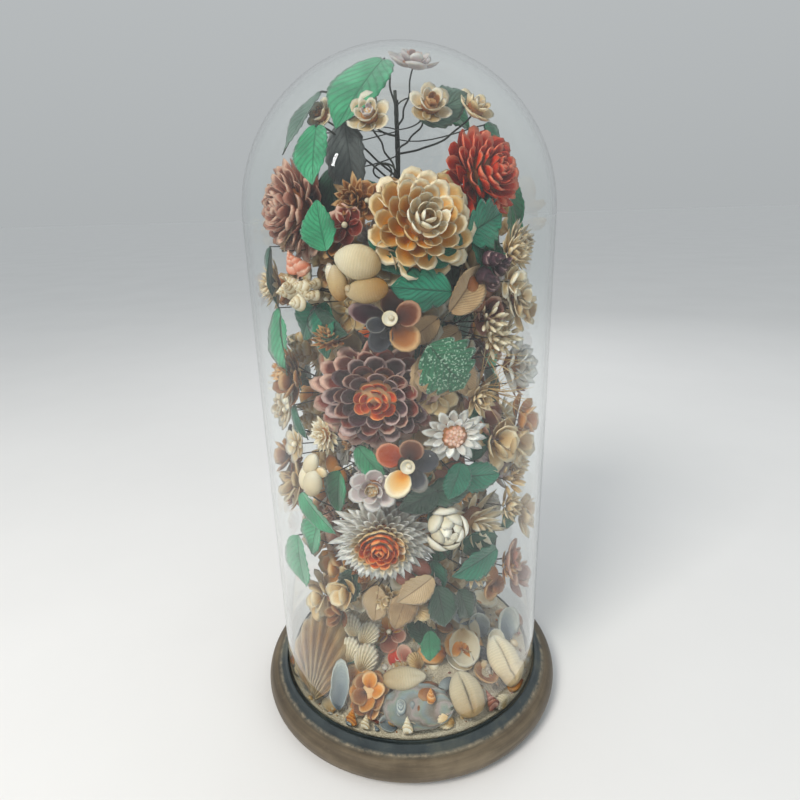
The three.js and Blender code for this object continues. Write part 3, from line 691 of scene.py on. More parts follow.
def build_dome():
    body = Body()
    inner, steps = DOME_RADIUS - DOME_WALL, 28
    segments = 128
    rows = []
    for i in range(steps):
        a = math.pi / 2 * (1 - i / steps)
        rows.append((inner * math.cos(a), DOME_SPRING + inner * math.sin(a)))
    rows += [(inner, DOME_SPRING - (DOME_SPRING - RIM) * i / 10) for i in range(11)]
    rows += [(inner + 0.3, RIM - 0.05), (DOME_RADIUS - 1.5, RIM - 0.2), (DOME_RADIUS - 0.3, RIM)]
    rows += [(DOME_RADIUS, RIM + 0.6 + (DOME_SPRING - RIM - 0.6) * i / 10) for i in range(11)]
    for i in range(1, steps):
        a = math.pi / 2 * i / steps
        rows.append((DOME_RADIUS * math.cos(a), DOME_SPRING + DOME_RADIUS * math.sin(a)))
    profile = [(0, DOME_SPRING + inner), *rows[1:], (0, DOME_TOP)]

    def blown(p):
        ripple = 0.14 * wobble(p, 38.0, 1.0)
        r = math.hypot(p.x, p.y)
        if r < 1:
            return p
        return Vector((p.x * (1 + ripple / r), p.y * (1 + ripple / r), p.z))

    lathe(body, profile, segments, bump=blown)
    make("blown_glass_dome", body, [GLASS], "clear_glass", "glass_dome")


def rounded(points):
    """A profile with each corner cut into short arcs."""
    made, steps = [points[0]], 3
    for before, at, after in zip(points, points[1:], points[2:]):
        b, p, a = Vector(before), Vector(at), Vector(after)
        cut = min((p - b).length, (a - p).length) * 0.3
        start, end = p + (b - p).normalized() * cut, p + (a - p).normalized() * cut
        for i in range(steps + 1):
            t = i / steps
            q = start * (1 - t) ** 2 + p * (2 * t * (1 - t)) + end * t * t
            made.append((q.x, q.y))
    made.append(points[-1])
    return made


def build_base():
    body = Body()
    profile = [(0, 7), (104, 7), (128, 7), (130.5, 7.6), (132.4, 9.6), (133, 13.5), (132.6, 16),
               (131.6, 18.8), (130, 21), (127.6, 22.8), (125.4, 23.6), (124.2, 23.9), (122.8, 24.2),
               (121.6, 25.0), (119.6, 25.8), (118.2, 26.6), (117.2, 28.2), (116.6, 28.9), (115.6, 28.9),
               (115.5, 24), (109.5, 24), (109.5, 28), (60, 28), (0, 28)]
    lathe(body, rounded(profile), 144)
    make("turned_base", body, [WOOD], "ebonised_wood", "wooden_base")
    for name, turn in (("front_foot", -9), ("right_foot", 111), ("left_foot", 231)):
        body = Body()
        foot = [(0, 0), (11.5, 0), (14.6, 1.2), (16, 3.2), (15.4, 5.2), (13.8, 6.7), (0, 6.7)]
        lathe(body, rounded(foot), 32, matrix=shift(*direction(turn, 0) * 111))
        make("turned_" + name, body, [WOOD], "ebonised_wood", name)


build_dome()
build_base()


# Flowers

# Ring: petals, root radius, height, length, width, tilt, petal form, which of the flower's materials.
# Lengths are shares of the flower's radius, and heights of its depth.
ROUND = dict(bowl=0.38, curl=0.06, across=8, along=5)
THIN = dict(bowl=0.2, curl=0.1, spread=1.1, ruffle=0.07, across=8, along=5)
LEAFY = dict(bowl=0.12, curl=0.16, sharp=0.6, spread=1.0)
NARROW = dict(bowl=0.26, curl=0.08, sharp=0.35, spread=0.8)
OBLONG = dict(bowl=0.24, curl=0.06, sharp=0.2, spread=0.7)
CLEAR = dict(bowl=0.3, curl=0.12, across=8, along=5)
PUFFY = dict(bowl=-0.5, curl=0.3)

FORMS = {
    "dahlia": [
        (11, 0.42, 0.14, 0.60, 0.50, 6, ROUND, 0), (11, 0.38, 0.28, 0.54, 0.46, 18, ROUND, 0),
        (11, 0.32, 0.42, 0.47, 0.40, 30, ROUND, 0), (10, 0.25, 0.54, 0.40, 0.35, 42, ROUND, 0),
        (8, 0.18, 0.66, 0.33, 0.29, 55, ROUND, 1), (6, 0.11, 0.74, 0.27, 0.23, 68, ROUND, 1),
        (4, 0.05, 0.80, 0.23, 0.19, 80, ROUND, 1),
    ],
    "carnation": [
        (15, 0.36, 0.10, 0.66, 0.36, 2, THIN, 0), (15, 0.34, 0.24, 0.60, 0.35, 14, THIN, 0),
        (14, 0.30, 0.36, 0.54, 0.33, 26, THIN, 0), (13, 0.26, 0.48, 0.47, 0.31, 38, THIN, 0),
        (11, 0.20, 0.58, 0.41, 0.28, 50, THIN, 0), (9, 0.14, 0.68, 0.35, 0.25, 62, THIN, 0),
        (7, 0.08, 0.74, 0.30, 0.21, 74, THIN, 0), (4, 0.03, 0.78, 0.26, 0.18, 85, THIN, 0),
    ],
    "chrysanthemum": [
        (27, 0.30, 0.10, 0.72, 0.17, 0, NARROW, 0), (27, 0.29, 0.20, 0.66, 0.17, 9, NARROW, 0),
        (26, 0.28, 0.29, 0.60, 0.16, 18, NARROW, 0), (24, 0.26, 0.38, 0.53, 0.15, 27, NARROW, 0),
        (22, 0.24, 0.46, 0.45, 0.15, 36, NARROW, 1), (14, 0.23, 0.54, 0.33, 0.24, 42, ROUND, 2),
        (11, 0.19, 0.61, 0.30, 0.25, 50, ROUND, 3), (9, 0.14, 0.68, 0.27, 0.23, 60, ROUND, 3),
        (7, 0.08, 0.74, 0.23, 0.19, 72, ROUND, 3), (4, 0.03, 0.79, 0.19, 0.16, 84, ROUND, 3),
    ],
    "wine": [
        (14, 0.38, 0.10, 0.62, 0.36, 2, ROUND, 0), (14, 0.36, 0.22, 0.56, 0.36, 12, ROUND, 0),
        (13, 0.33, 0.34, 0.50, 0.34, 22, ROUND, 2), (12, 0.29, 0.45, 0.43, 0.31, 34, ROUND, 0),
        (10, 0.25, 0.55, 0.35, 0.28, 46, ROUND, 2), (7, 0.17, 0.64, 0.25, 0.23, 50, ROUND, 1),
        (6, 0.11, 0.74, 0.21, 0.18, 62, ROUND, 1), (4, 0.05, 0.80, 0.17, 0.15, 78, ROUND, 1),
    ],
    "daisy": [
        (14, 0.20, 0.30, 0.84, 0.34, 2, OBLONG, 0), (12, 0.18, 0.46, 0.62, 0.28, 18, OBLONG, 0),
    ],
    "star": [
        (13, 0.16, 0.20, 0.86, 0.26, 4, LEAFY, 0), (12, 0.15, 0.40, 0.72, 0.24, 20, LEAFY, 0),
        (10, 0.12, 0.55, 0.56, 0.22, 38, LEAFY, 0), (7, 0.07, 0.66, 0.42, 0.18, 58, LEAFY, 0),
        (4, 0.02, 0.72, 0.34, 0.14, 78, LEAFY, 0),
    ],
    "blossom": [
        (6, 0.14, 0.30, 0.96, 0.86, 8, CLEAR, 0), (5, 0.10, 0.46, 0.62, 0.58, 34, CLEAR, 0),
        (4, 0.08, 0.58, 0.40, 0.36, 56, CLEAR, 1),
    ],
    "peony": [
        (7, 0.10, 0.20, 0.92, 0.66, 14, PUFFY, 0), (7, 0.08, 0.42, 0.78, 0.60, 34, PUFFY, 0),
        (6, 0.06, 0.58, 0.60, 0.50, 56, PUFFY, 0), (4, 0.03, 0.68, 0.46, 0.40, 76, PUFFY, 0),
    ],
    "lily": [
        (8, 0.10, 0.30, 0.92, 0.26, 6, LEAFY, 0), (8, 0.10, 0.50, 0.80, 0.24, 24, LEAFY, 0),
        (7, 0.08, 0.66, 0.64, 0.20, 44, LEAFY, 0), (5, 0.04, 0.74, 0.44, 0.16, 66, LEAFY, 0),
    ],
}

# Form, azimuth, height, reach of the back, half width, half height, depth, facing azimuth and lift,
# materials, slot
FLOWERS = {
    "peach_dahlia": ("dahlia", 8, 408, 80, 35, 34, 24, 14, 18, ("peach", "cream_petals"), "peach_shell"),
    "coral_carnation": ("carnation", 47, 436, 67, 31, 32, 26, 42, 14, ("coral",), "coral_shell"),
    "mauve_carnation": ("carnation", -61, 420, 72, 34, 35, 26, -56, 4, ("mauve",), "mauve_shell"),
    "wine_dahlia": ("wine", -14, 299, 77, 45, 38, 27, -3, 5, ("wine", "ember", "dusk"), "wine_shell"),
    "white_chrysanthemum": ("chrysanthemum", -15, 187, 74, 39, 35, 26, -4, 0,
                            ("chalk", "cream_petals", "peach", "ember"), "white_shell"),
    "white_daisy": ("daisy", 20, 272, 91, 23, 18, 11, 14, 8, ("chalk", "rosy"), "white_shell"),
    "amber_top_blossom": ("blossom", -14, 471, 68, 13.5, 13, 9, -12, 30, ("amber", "lilac"), "amber_shell"),
    "pink_top_blossom": ("blossom", 18, 476, 63, 14, 14, 9, 16, 32, ("amber", "brown"), "peach_shell"),
    "left_top_blossom": ("blossom", -46, 475, 64, 11, 11, 8, -42, 30, ("cream_petals", "brown"),
                         "cream_shell"),
    "right_top_blossom": ("blossom", 49, 476, 64, 14, 13, 9, 44, 40, ("tan", "amber"), "tan_shell"),
    "crown_blossom": ("blossom", 28, 507, 24, 17, 16, 8, 20, 66, ("lilac", "mauve"), "peach_shell"),
    "beige_star": ("star", -82, 367, 91, 20, 20, 14, -78, 0, ("tan",), "tan_shell"),
    "orange_star": ("star", -66, 306, 87, 21, 21, 14, -56, 0, ("orange",), "orange_shell"),
    "wine_star": ("star", -34, 336, 84, 16, 14, 9, -32, 58, ("brown",), "wine_shell"),
    "amber_left_blossom": ("blossom", -76, 274, 95, 15, 15, 9, -58, 6, ("amber", "amber"), "amber_shell"),
    "rice_flower": ("star", -36, 271, 92, 13, 15, 10, -34, 8, ("cream_petals",), "cream_shell"),
    "amber_blossom": ("blossom", -14, 237, 96, 16, 15, 9, -8, 12, ("lilac", "amber"), "amber_shell"),
    "cream_peony": ("peony", 60, 308, 85, 20, 22, 19, 54, 4, ("chalk",), "cream_shell"),
    "cream_blossom": ("blossom", 51, 360, 93, 15, 17, 10, 58, 6, ("cream_petals", "tan"), "cream_shell"),
    "yellow_star": ("star", 54, 391, 90, 16, 19, 12, 60, 4, ("tan",), "tan_shell"),
    "tan_lily": ("lily", 40, 188, 70, 32, 31, 15, 36, -4, ("cream_petals",), "tan_shell"),
    "red_blossom": ("blossom", 60, 146, 92, 15, 16, 10, 66, 8, ("mauve", "brown"), "mauve_shell"),
    "back_cream_carnation": ("carnation", 172, 402, 78, 30, 30, 20, 174, 4, ("cream_petals",), "cream_shell"),
    "back_mauve_carnation": ("carnation", 126, 300, 76, 28, 28, 22, 126, 0, ("mauve",), "mauve_shell"),
    "back_brown_star": ("star", 207, 398, 80, 22, 22, 14, 207, 0, ("brown",), "wine_shell"),
    "back_coral_peony": ("peony", 196, 300, 78, 24, 24, 18, 196, 4, ("ember",), "coral_shell"),
}
FLOWER_BACKS = []


def set_flower(piece, name, body, spot, materials, slot, lead=FLOWER_LEAD):
    """Puts a flower at its spot: azimuth, height, reach, facing azimuth and lift."""
    azimuth, height, reach, face, lift = spot
    at, facing = place(azimuth, height, reach), direction(face, lift)
    settle(body, pose(at, facing))
    FLOWER_BACKS.append((at, facing, lead))
    make(piece + name, body, materials, slot, name)


def fan(turn, root, height, tilt):
    """The pose of a petal: turned round the flower's axis, off it, up it and tilted."""
    return spin(turn, "Z") @ shift(0, root, height) @ spin(tilt, "X")


def calyx(body, radius, depth, mat):
    """The paper cup that holds the petals."""
    lathe(body, [(0, 0), (radius * 0.16, 0.2), (radius * 0.42, depth * 0.16), (radius * 0.4, depth * 0.5),
                 (radius * 0.2, depth * 0.72), (0, depth * 0.78)], 14, mat)


def build_flower(name, row):
    form, azimuth, height, reach, half_width, half_height, depth, face, lift, looks, slot = row
    body = Body()
    squeeze = Matrix.Diagonal((1, half_height / half_width, 1, 1))
    for k, (count, root, up, length, width, tilt, shape, mat) in enumerate(FORMS[form]):
        ring(body, squeeze, count, root * half_width, up * depth, length * half_width, width * half_width,
             tilt, min(mat, len(looks) - 1), phase=0.5 * (k % 2), **shape)
    if form in ("blossom", "daisy"):
        for k in range(9 if form == "blossom" else 26):
            a = GOLDEN * k
            r = half_width * (0.07 if form == "blossom" else 0.055) * math.sqrt(k)
            bead(body, shift(r * math.cos(a), r * math.sin(a), depth * 0.68 - r * 0.15),
                 half_width * 0.075, len(looks) - 1)
    calyx(body, half_width, depth, len(looks))
    set_flower("petals_", name, body, (azimuth, height, reach, face, lift),
               [SHELLS[k] for k in looks] + [SHELLS["brown"]], slot)


for flower, row in FLOWERS.items():
    build_flower(flower, row)


# Special flowers

# Petals one by one: turn from upright toward the right, length, width, tilt, look, form
CUPS = {
    "mussel_flower": (-5, 351, 90, -2, 26, 22, ("umber", "navy", "brown", "dusk"), "wine_shell", [
        (8, 18, 16, 24, 0, dict(bowl=0.5)), (-72, 24, 14, 4, 3, dict(bowl=0.5)),
        (-152, 19, 15, 2, 1, dict(bowl=0.45)), (140, 21, 19, -4, 2, dict(bowl=0.4, curl=0.1)),
        (76, 17, 17, 16, 0, dict(bowl=0.35)), (-118, 14, 11, 30, 1, dict(bowl=0.4))]),
    "coral_pansy": (0, 255, 94, 2, 12, 22, ("rust", "peach", "navy", "umber"), "coral_shell", [
        (-58, 20, 17, 10, 0, dict(bowl=0.3)), (150, 18, 14, 4, 2, dict(bowl=0.4)),
        (78, 18, 16, 8, 2, dict(bowl=0.35)), (16, 16, 17, 16, 3, dict(bowl=0.35)),
        (-150, 20, 18, 9, 1, dict(bowl=0.25))]),
}


def build_cup(name, row):
    azimuth, height, reach, face, lift, lead, looks, slot, petals = row
    body = Body()
    for k, (turn, length, width, tilt, mat, shape) in enumerate(petals):
        petal(body, fan(-turn, 3.6, 3 + 1.1 * k, tilt), length, width, mat,
              across=10, along=7, thick=0.7, **shape)
    lathe(body, [(0, 5), (3.2, 5.4), (4.6, 7.6), (5, 10), (4.3, 10.2), (3.2, 8.2), (0, 7.2)], 20, len(looks))
    bead(body, shift(0.8, 0.6, 8.6), 1.9, len(looks))
    calyx(body, 16, 6, len(looks) + 1)
    set_flower("petals_", name, body, (azimuth, height, reach, face, lift),
               [SHELLS[k] for k in looks] + [SHELLS["bone"], WIRE], slot, lead)


# Buds and round shells

def pod(body, matrix, length, width, depth, mat=0, beak=0.25, seam=0.0, slit=0.0, across=22, along=16):
    """A closed shell along +Y: an egg drawn out to a beak, with a seam round its edge or a toothed slit."""
    key = DRAW.random()
    points, tones = [(0, -length / 2, 0)], [(key, 0, 0, 1)]
    for j in range(1, along):
        a = math.pi * j / along
        y = -math.cos(a)
        r = math.sin(a) * (1 - beak * max(0, y) ** 1.5)
        for i in range(across):
            t = 2 * math.pi * i / across
            x, z = r * math.cos(t), r * math.sin(t)
            if seam:
                x *= 1 - seam * math.exp(-(z / 0.1) ** 2)
            if slit and z > 0:
                teeth = 0.5 + 0.5 * math.sin(y * 34)
                gap = math.exp(-(x / 0.11) ** 2) * (1 - y * y)
                z -= slit * gap * (1 - 0.35 * teeth)
            points.append((x * width / 2, y * length / 2, z * depth / 2))
            tones.append((key, j / along, abs(math.cos(t)), 1))
    points.append((0, length / 2, 0))
    tones.append((key, 1, 0, 1))
    close_rings(body, points, tones, across, along, mat, matrix, turn_over=True)


def snail(body, matrix, width, height, turns=3.4, mat=0, across=18, along=26, groove=0.17):
    """A wound shell standing on its mouth side, with its tip up along +Z."""
    key = DRAW.random()
    points, tones = [(0, 0, 0)], [(key, 0, 0, 1)]
    for j in range(1, along):
        share = (j / along) ** 1.15
        swell = math.sqrt(1 - (1 - min(1, share / 0.22)) ** 2)
        r = width / 2 * swell * (1 - share) ** 0.8 * 1.12
        for i in range(across):
            t = 2 * math.pi * i / across
            wound = turns * math.log(1 / (1.06 - share)) / 1.7 + i / across
            ridge = abs(math.sin(math.pi * wound)) ** 0.5
            mouth = math.exp(-((t - 3.14) / 0.7) ** 2 - ((share - 0.16) / 0.13) ** 2)
            reach = r * (1 - groove * (1 - ridge)) * (1 - 0.35 * mouth)
            points.append((reach * math.cos(t), reach * math.sin(t), height * share))
            tones.append((key, wound % 1.0, 0.5 + 0.5 * math.cos(t * 3), 1))
    points.append((0, 0, height))
    tones.append((key, 1, 0, 1))
    close_rings(body, points, tones, across, along, mat, matrix)


def valve(body, matrix, length, width, height, ribs=0, depth=0.06, mat=0, along=9, thick=0.9, hollow=False):
    """One half of a bivalve lying on its rim, its beak at -Y. With hollow it lies on its back."""
    key, spread = DRAW.random(), 1.2
    across = max(10, ribs * 4)

    def radius(u):
        return math.cos(u * spread)

    half = max(radius(i / 20) * math.sin(i / 20 * spread) for i in range(21))

    def point(u, v):
        v = 0.04 + 0.96 * v
        rho = v * radius(u) * (1 + depth * 0.25 * math.cos(u * ribs * math.pi) * v)
        x = rho * math.sin(u * spread) / half * width / 2
        y = rho * math.cos(u * spread) * length - length / 2
        dish = min(1.0, (2 * x / width) ** 2 + (2 * y / length) ** 2)
        crown = math.sqrt(max(0.0, 1 - dish * 0.98))
        rib = 1 + depth * math.cos(u * ribs * math.pi) * (0.3 + 0.7 * v) * 2 if ribs else 1
        z = height * crown * (rib if crown > 0.2 else 1)
        if hollow:
            z = height * (1 - crown)
        return x, y, z

    sheet(body, point, across, along, thick if not hollow else thick * 0.8, mat, matrix, key)


def moved(*at, roll=0.0, lean=0.0, tip=0.0):
    return shift(*at) @ spin(roll, "Z") @ spin(lean, "Y") @ spin(tip, "X")


def clam_bud(body):
    pod(body, moved(2, 8, 8.4, roll=78), 30, 22, 17, 0, seam=0.05)
    pod(body, moved(-12, -5, 6, roll=12), 23, 13, 11, 1, beak=0.35)
    pod(body, moved(7, -9, 7, roll=98), 28, 17, 13, 1, beak=0.3, seam=0.05)
    valve(body, moved(-15, -4, 3, roll=20, lean=-40), 24, 15, 4, mat=1)
    bead(body, moved(-4, -8, 9), 2.6, 1)


def snail_cluster(body):
    for x, y, w, h, lean, mat in ((-7, -2, 13, 12, -20, 0), (6, -2, 12, 12, 20, 0), (0, -11, 12, 11, 0, 0),
                                  (-5, 8, 11, 17, -60, 1), (6, 8, 11, 17, 56, 1)):
        snail(body, moved(x, y, 1, lean=lean, roll=20 * x), w * 1.1, h, mat=mat, groove=0.1)


def bean_bud(body):
    pod(body, moved(1, 9, 5, roll=-33), 19, 12, 9, 0, beak=0.1)
    pod(body, moved(4, -5, 6, roll=-14), 21, 16, 12, 0, beak=0.1)
    pod(body, moved(-5, -3.4, 5, roll=-7), 20, 11, 8, 0, beak=0.1)
    valve(body, moved(9, 4, 2, roll=-60, lean=20), 12, 9, 3, mat=1)


def rose_bud(body):
    pod(body, moved(0, 0, 11, tip=-90), 20, 17, 17, 0, beak=0.35)
    for k in range(13):
        m = fan(GOLDEN_DEGREES * k, 10.2 - 0.62 * k, 2 + 0.75 * k, 72 + 1.4 * k)
        petal(body, m, 17, 19 - 0.8 * k, 0, bowl=0.62, curl=0.2, across=8, along=6, thick=0.6)


def catkin(body):
    for k in range(150):
        t = (k + 0.5) / 150
        swell = 0.35 + 0.65 * math.sin(math.pi * min(1, t * 0.9 + 0.12)) ** 0.7
        a = GOLDEN * k
        r = 6.2 * swell
        m = (shift(r * math.cos(a), -66 * t, r * math.sin(a))
             @ turned(math.radians(90) - a, "Y") @ spin(-120, "X"))
        petal(body, m, 6.5, 4.4, 0, bowl=0.4, curl=0.1, across=4, along=3, thick=0.3)
    tube(body, [Vector((0, -68 * i / 8, 0)) for i in range(9)], 4.2, 0, sides=10, taper=0.4)


# Azimuth, height, reach, facing azimuth and lift, build, looks, slot
BUDS = {
    "clam_bud": (-17, 381, 90, -16, 4, clam_bud, ("bone", "amber"), "amber_shell"),
    "snail_cluster": (-44, 373, 93, -40, 4, snail_cluster, ("bone", "rosy"), "cream_shell"),
    "bean_bud": (-46, 236, 93, -40, 6, bean_bud, ("bone", "tan"), "cream_shell"),
    "rose_bud": (17, 199, 85, 12, 16, rose_bud, ("bone",), "cream_shell"),
    "brown_catkin": (-78, 254, 92, -72, 0, catkin, ("orange",), "orange_shell"),
}


def build_bud(name, row):
    azimuth, height, reach, face, lift, build, looks, slot = row
    body = Body()
    build(body)
    calyx(body, 10, 5, len(looks))
    set_flower("shells_", name, body, (azimuth, height, reach, face, lift),
               [SHELLS[k] for k in looks] + [WIRE], slot)


for bloom, row in CUPS.items():
    build_cup(bloom, row)
for bud, row in BUDS.items():
    build_bud(bud, row)


# Leaves and wires

def leaf(body, matrix, length, width, fold, mat, lobes, tooth, across=12, along=40):
    """A pressed ribbon leaf along +Y, toothed or lobed at its edge, pointed and bent at its tip."""
    key, wave, thick = DRAW.random(), 0.9, 0.45

    def point(u, v):
        half = width / 2 * math.sin(math.pi * min(1.0, v ** 0.78 * 0.985 + 0.012)) ** 0.86 * 1.04
        if tooth > 0.2:
            half *= 1 - tooth * (1 - abs(math.sin(math.pi * lobes * v)) ** 0.7)
        else:
            half *= 1 - tooth * (1 - (v * lobes) % 1.0) * min(1, 6 * v)
        x = u * half
        y = length * v + abs(u) * half * 0.12 * math.sin(math.pi * v)
        z = abs(x) * fold * 1.6 - 0.13 * length * v * v
        z += wave * math.sin(v * 9 + key * 6) * abs(u) * (1 if u > 0 else -0.7)
        z += 0.25 * math.sin(v * lobes * 6.28) * abs(u) - 0.35 * math.exp(-(u / 0.07) ** 2)
        return x, y, z

    sheet(body, point, across, along, thick, mat, matrix, key)


# Azimuth, height, reach of the stalk, facing azimuth and lift, turn toward the right, length, width, fold,
# look, lobes, tooth, slot
LEAVES = {
    "crown_leaf": (-12, 509, 38, -22, 50, -165, 60, 36, 0.1, "green", 10, 0.07, "green_leaf"),
    "left_top_leaf": (-36, 468, 83, -35, 30, 170, 37, 23, 0.15, "green", 8, 0.08, "green_leaf"),
    "upright_leaf": (-27, 396, 100, -25, -2, -12, 30, 21, 0.2, "green", 6, 0.12, "green_leaf"),
    "teal_pair_leaf": (18, 370, 99, 9, 0, -84, 38, 24, -0.2, "teal", 4, 0.26, "teal_leaf"),
    "right_teal_leaf": (27, 403, 90, 33, 0, 70, 34, 27, 0.15, "teal", 4, 0.26, "teal_leaf"),
    "tan_leaf": (17, 357, 99, 28, 4, 46, 39, 20, 0.3, "tan", 14, 0.06, "tan_shell"),
    "glitter_leaf": (9, 338, 99, 14, 2, 142, 41, 36, 0.1, "glitter", 5, 0.28, "teal_leaf"),
    "left_low_leaf": (-52, 219, 100, -42, 0, 132, 40, 18, 0.2, "green", 7, 0.12, "green_leaf"),
    "left_bottom_leaf": (-59, 177, 101, -46, 4, 180, 50, 29, 0.1, "green", 9, 0.1, "green_leaf"),
    "right_low_leaf": (46, 168, 94, 38, 0, -102, 43, 25, 0.15, "teal", 5, 0.2, "teal_leaf"),
}
WIRED_LEAVES = [
    (-43, 489, 68, -51, 37, -150, 45, 23, 0.1, "grey"), (-78, 314, 95, -42, 0, -6, 32, 25, 0.1, "green"),
    (-46, 358, 84, -50, 4, -140, 34, 27, 0.1, "teal"), (15, 352, 88, 12, 0, -124, 28, 19, 0.1, "tan"),
    (23, 252, 96, 23, 6, -160, 28, 23, 0.1, "teal"), (13, 232, 92, 9, 2, -118, 30, 23, 0.1, "dark"),
    (12, 156, 84, 10, 6, -126, 34, 25, 0.1, "tan"), (100, 420, 88, 102, 14, 170, 44, 27, 0.1, "green"),
    (155, 350, 92, 155, 0, 190, 44, 27, 0.1, "teal"), (196, 250, 92, 196, 0, 170, 42, 27, 0.1, "green"),
    (250, 300, 92, 250, 0, 185, 44, 27, 0.1, "grey"), (168, 170, 90, 168, 6, 172, 40, 27, 0.1, "teal"),
]
LEAF_BACKS = []


def leaf_matrix(azimuth, height, reach, face, lift, turn):
    matrix = pose(place(azimuth, height, reach), direction(face, lift), -turn)
    along = (matrix.to_3x3() @ Vector((0, 1, 0))).normalized()
    LEAF_BACKS.append((matrix.translation.copy(), along, LEAF_LEAD))
    return matrix


for name, (az, z, reach, face, lift, turn, length, width, fold, look, lobes, tooth, slot) in LEAVES.items():
    body = Body()
    leaf(body, leaf_matrix(az, z, reach, face, lift, turn), length, width * 1.18, fold, 0, lobes, tooth)
    make("blade_" + name, body, [LEAF_LOOKS[look]], slot, name)


def build_stems():
    looks = ["green", "teal", "grey", "dark", "tan"]
    body = Body()
    for az, z, reach, face, lift, turn, length, width, fold, look in WIRED_LEAVES:
        leaf(body, leaf_matrix(az, z, reach, face, lift, turn), length, width, fold,
             1 + looks.index(look), 8, 0.12)
    lowest, highest = BED_TOP + 18, TRUNK_TOP - 14
    ends = sorted(FLOWER_BACKS + LEAF_BACKS, key=lambda e: e[0].z)
    for i, (end, arriving, lead) in enumerate(ends):
        root_z = lowest + (highest - lowest) * i / (len(ends) - 1) + 16 * (DRAW.random() - 0.5)
        outward = Vector((end.x, end.y, 0)).normalized()
        root = Vector((0, 0, root_z))
        out = root + outward * (math.hypot(end.x, end.y) * (0.25 + 0.3 * DRAW.random()))
        out.z += (end.z - root_z) * (0.1 + 0.4 * DRAW.random()) + 14 * (DRAW.random() - 0.5)
        path = bezier(root, out, end - arriving * lead, end + arriving * 0.6, 16)
        sway = DRAW.random() * 6
        path = [p + Vector((math.sin(sway + k), math.cos(sway + 2 * k), 0)) * 0.8 for k, p in enumerate(path)]
        tube(body, path, 0.75, 0, sides=6, taper=0.8)
    rises = [TRUNK_FOOT + (TRUNK_TOP - TRUNK_FOOT) * k / 40 for k in range(41)]
    trunk = [Vector((0.7 * math.sin(k * 0.9), 0.7 * math.cos(k * 0.7), z)) for k, z in enumerate(rises)]
    tube(body, trunk, 2.5, 0, sides=10, taper=0.5)
    for k in range(5):
        wind = []
        for j in range(0, 201, 2):
            r, t = 2.1 - 0.9 * j / 200, 0.32 * j + 1.3 * k
            wind.append(Vector((r * math.cos(t), r * math.sin(t), 44 + (TRUNK_TOP - 50) * j / 200)))
        tube(body, wind, 0.55, 0, sides=4)
    tendrils = [(1.3, place(-9, 442, 62), 7.5), (1.2, place(-30, 432, 70), 6), (1.1, place(-16, 262, 78), 8)]
    for turns, at, size in tendrils:
        curl = [at + Vector((size * math.cos(6.28 * turns * j / 24) * (1 - j / 60), j * 0.4,
                             size * 0.6 * math.sin(6.28 * turns * j / 24))) for j in range(25)]
        midway = at * 0.5 + Vector((0, 0, at.z * 0.5))
        stem = bezier(Vector((0, 0, at.z - 20)), midway, curl[0], curl[0], 8)
        tube(body, stem + curl[1:], 0.6, 0, sides=5)
    make("wires_and_leaves", body, [WIRE] + [LEAF_LOOKS[k] for k in looks], "dark_wire", "wire_stems")


# Small things among the flowers

FILL_LOOKS = ["cream_petals", "tan", "white", "amber", "mauve", "brown", "orange", "bone", "coral", "dusk",
              "lilac", "wine"]
FILL_LEAVES = ["green", "teal", "grey", "dark", "tan", "smoke"]
FRONT_FILLS, BACK_FILLS = 200, 100
# The front reaches to this azimuth on either side
SIDE = 96


def look_index(look, leafy=False):
    return len(FILL_LOOKS) + FILL_LEAVES.index(look) if leafy else FILL_LOOKS.index(look)


def tuft(body, m, size, look):
    for k in range(8):
        turn = turned(GOLDEN * k + DRAW.random(), "Z")
        tilt = spin(8 + 9 * k, "X")
        petal(body, m @ turn @ shift(0, size * 0.08, 0.6 * k) @ tilt, size * (1 - 0.05 * k),
              size * 0.72, look, bowl=0.25, ruffle=0.05, across=6, along=4)


def bloom(body, m, size, look):
    for k in range(6):
        turn = turned(math.pi / 3 * (k + 0.3 * DRAW.random()), "Z")
        petal(body, m @ turn @ shift(0, 1.2, 2) @ turned(0.2, "X"), size * 0.62,
              size * 0.55, look, across=7, along=5)
    bead(body, m @ shift(0, 0, 3.5), size * 0.1, FILL_LOOKS.index("bone"))


def starlet(body, m, size, look):
    for k in range(24):
        turn = turned(GOLDEN * k, "Z")
        tilt = spin(4 + 3 * k, "X")
        petal(body, m @ turn @ shift(0, 1.2, 1 + 0.15 * k) @ tilt, size * 0.6 * (1 - 0.02 * k),
              size * 0.2, look, **LEAFY)


def snails(body, m, size, look):
    for k in range(4):
        at = turned(1.6 * k, "Z") @ shift(size * 0.3, 0, 1)
        snail(body, m @ at @ turned(DRAW.random() - 0.5, "X"), size * 0.55, size * 0.7, mat=look,
              across=12, along=16)


def pods(body, m, size, look):
    for k in range(3):
        at = turned(2.1 * k + 0.4, "Z") @ shift(size * 0.3, 0, size * 0.2)
        pod(body, m @ at @ turned(0.8 * k, "Z"), size * 0.75, size * 0.5, size * 0.38, look,
            seam=0.05, across=14, along=10)


def seeds(body, m, size, look):
    for k in range(14):
        lean = turned(GOLDEN * k, "Z") @ turned(0.25 + 0.07 * k, "X")
        m2 = m @ lean @ shift(0, 0, size * 0.6)
        pod(body, m2 @ turned(math.pi / 2, "X"), size * 0.42, size * 0.15, size * 0.13, look,
            across=7, along=6)
        tube(body, [m @ Vector((0, 0, 0)), m2 @ Vector((0, 0, -size * 0.15))], 0.3,
             FILL_LOOKS.index("tan"), sides=4)


def wisp(body, m, size, look):
    for k in range(18):
        lean = m @ turned(GOLDEN * k, "Z") @ turned(0.1 + 0.06 * k, "X")
        bend = (DRAW.random() - 0.5) * 0.5
        path = [lean @ Vector((bend * size * (j / 6) ** 2, 0, size * 1.2 * j / 6)) for j in range(7)]
        tube(body, path, 0.3, look, sides=4, taper=0.4)


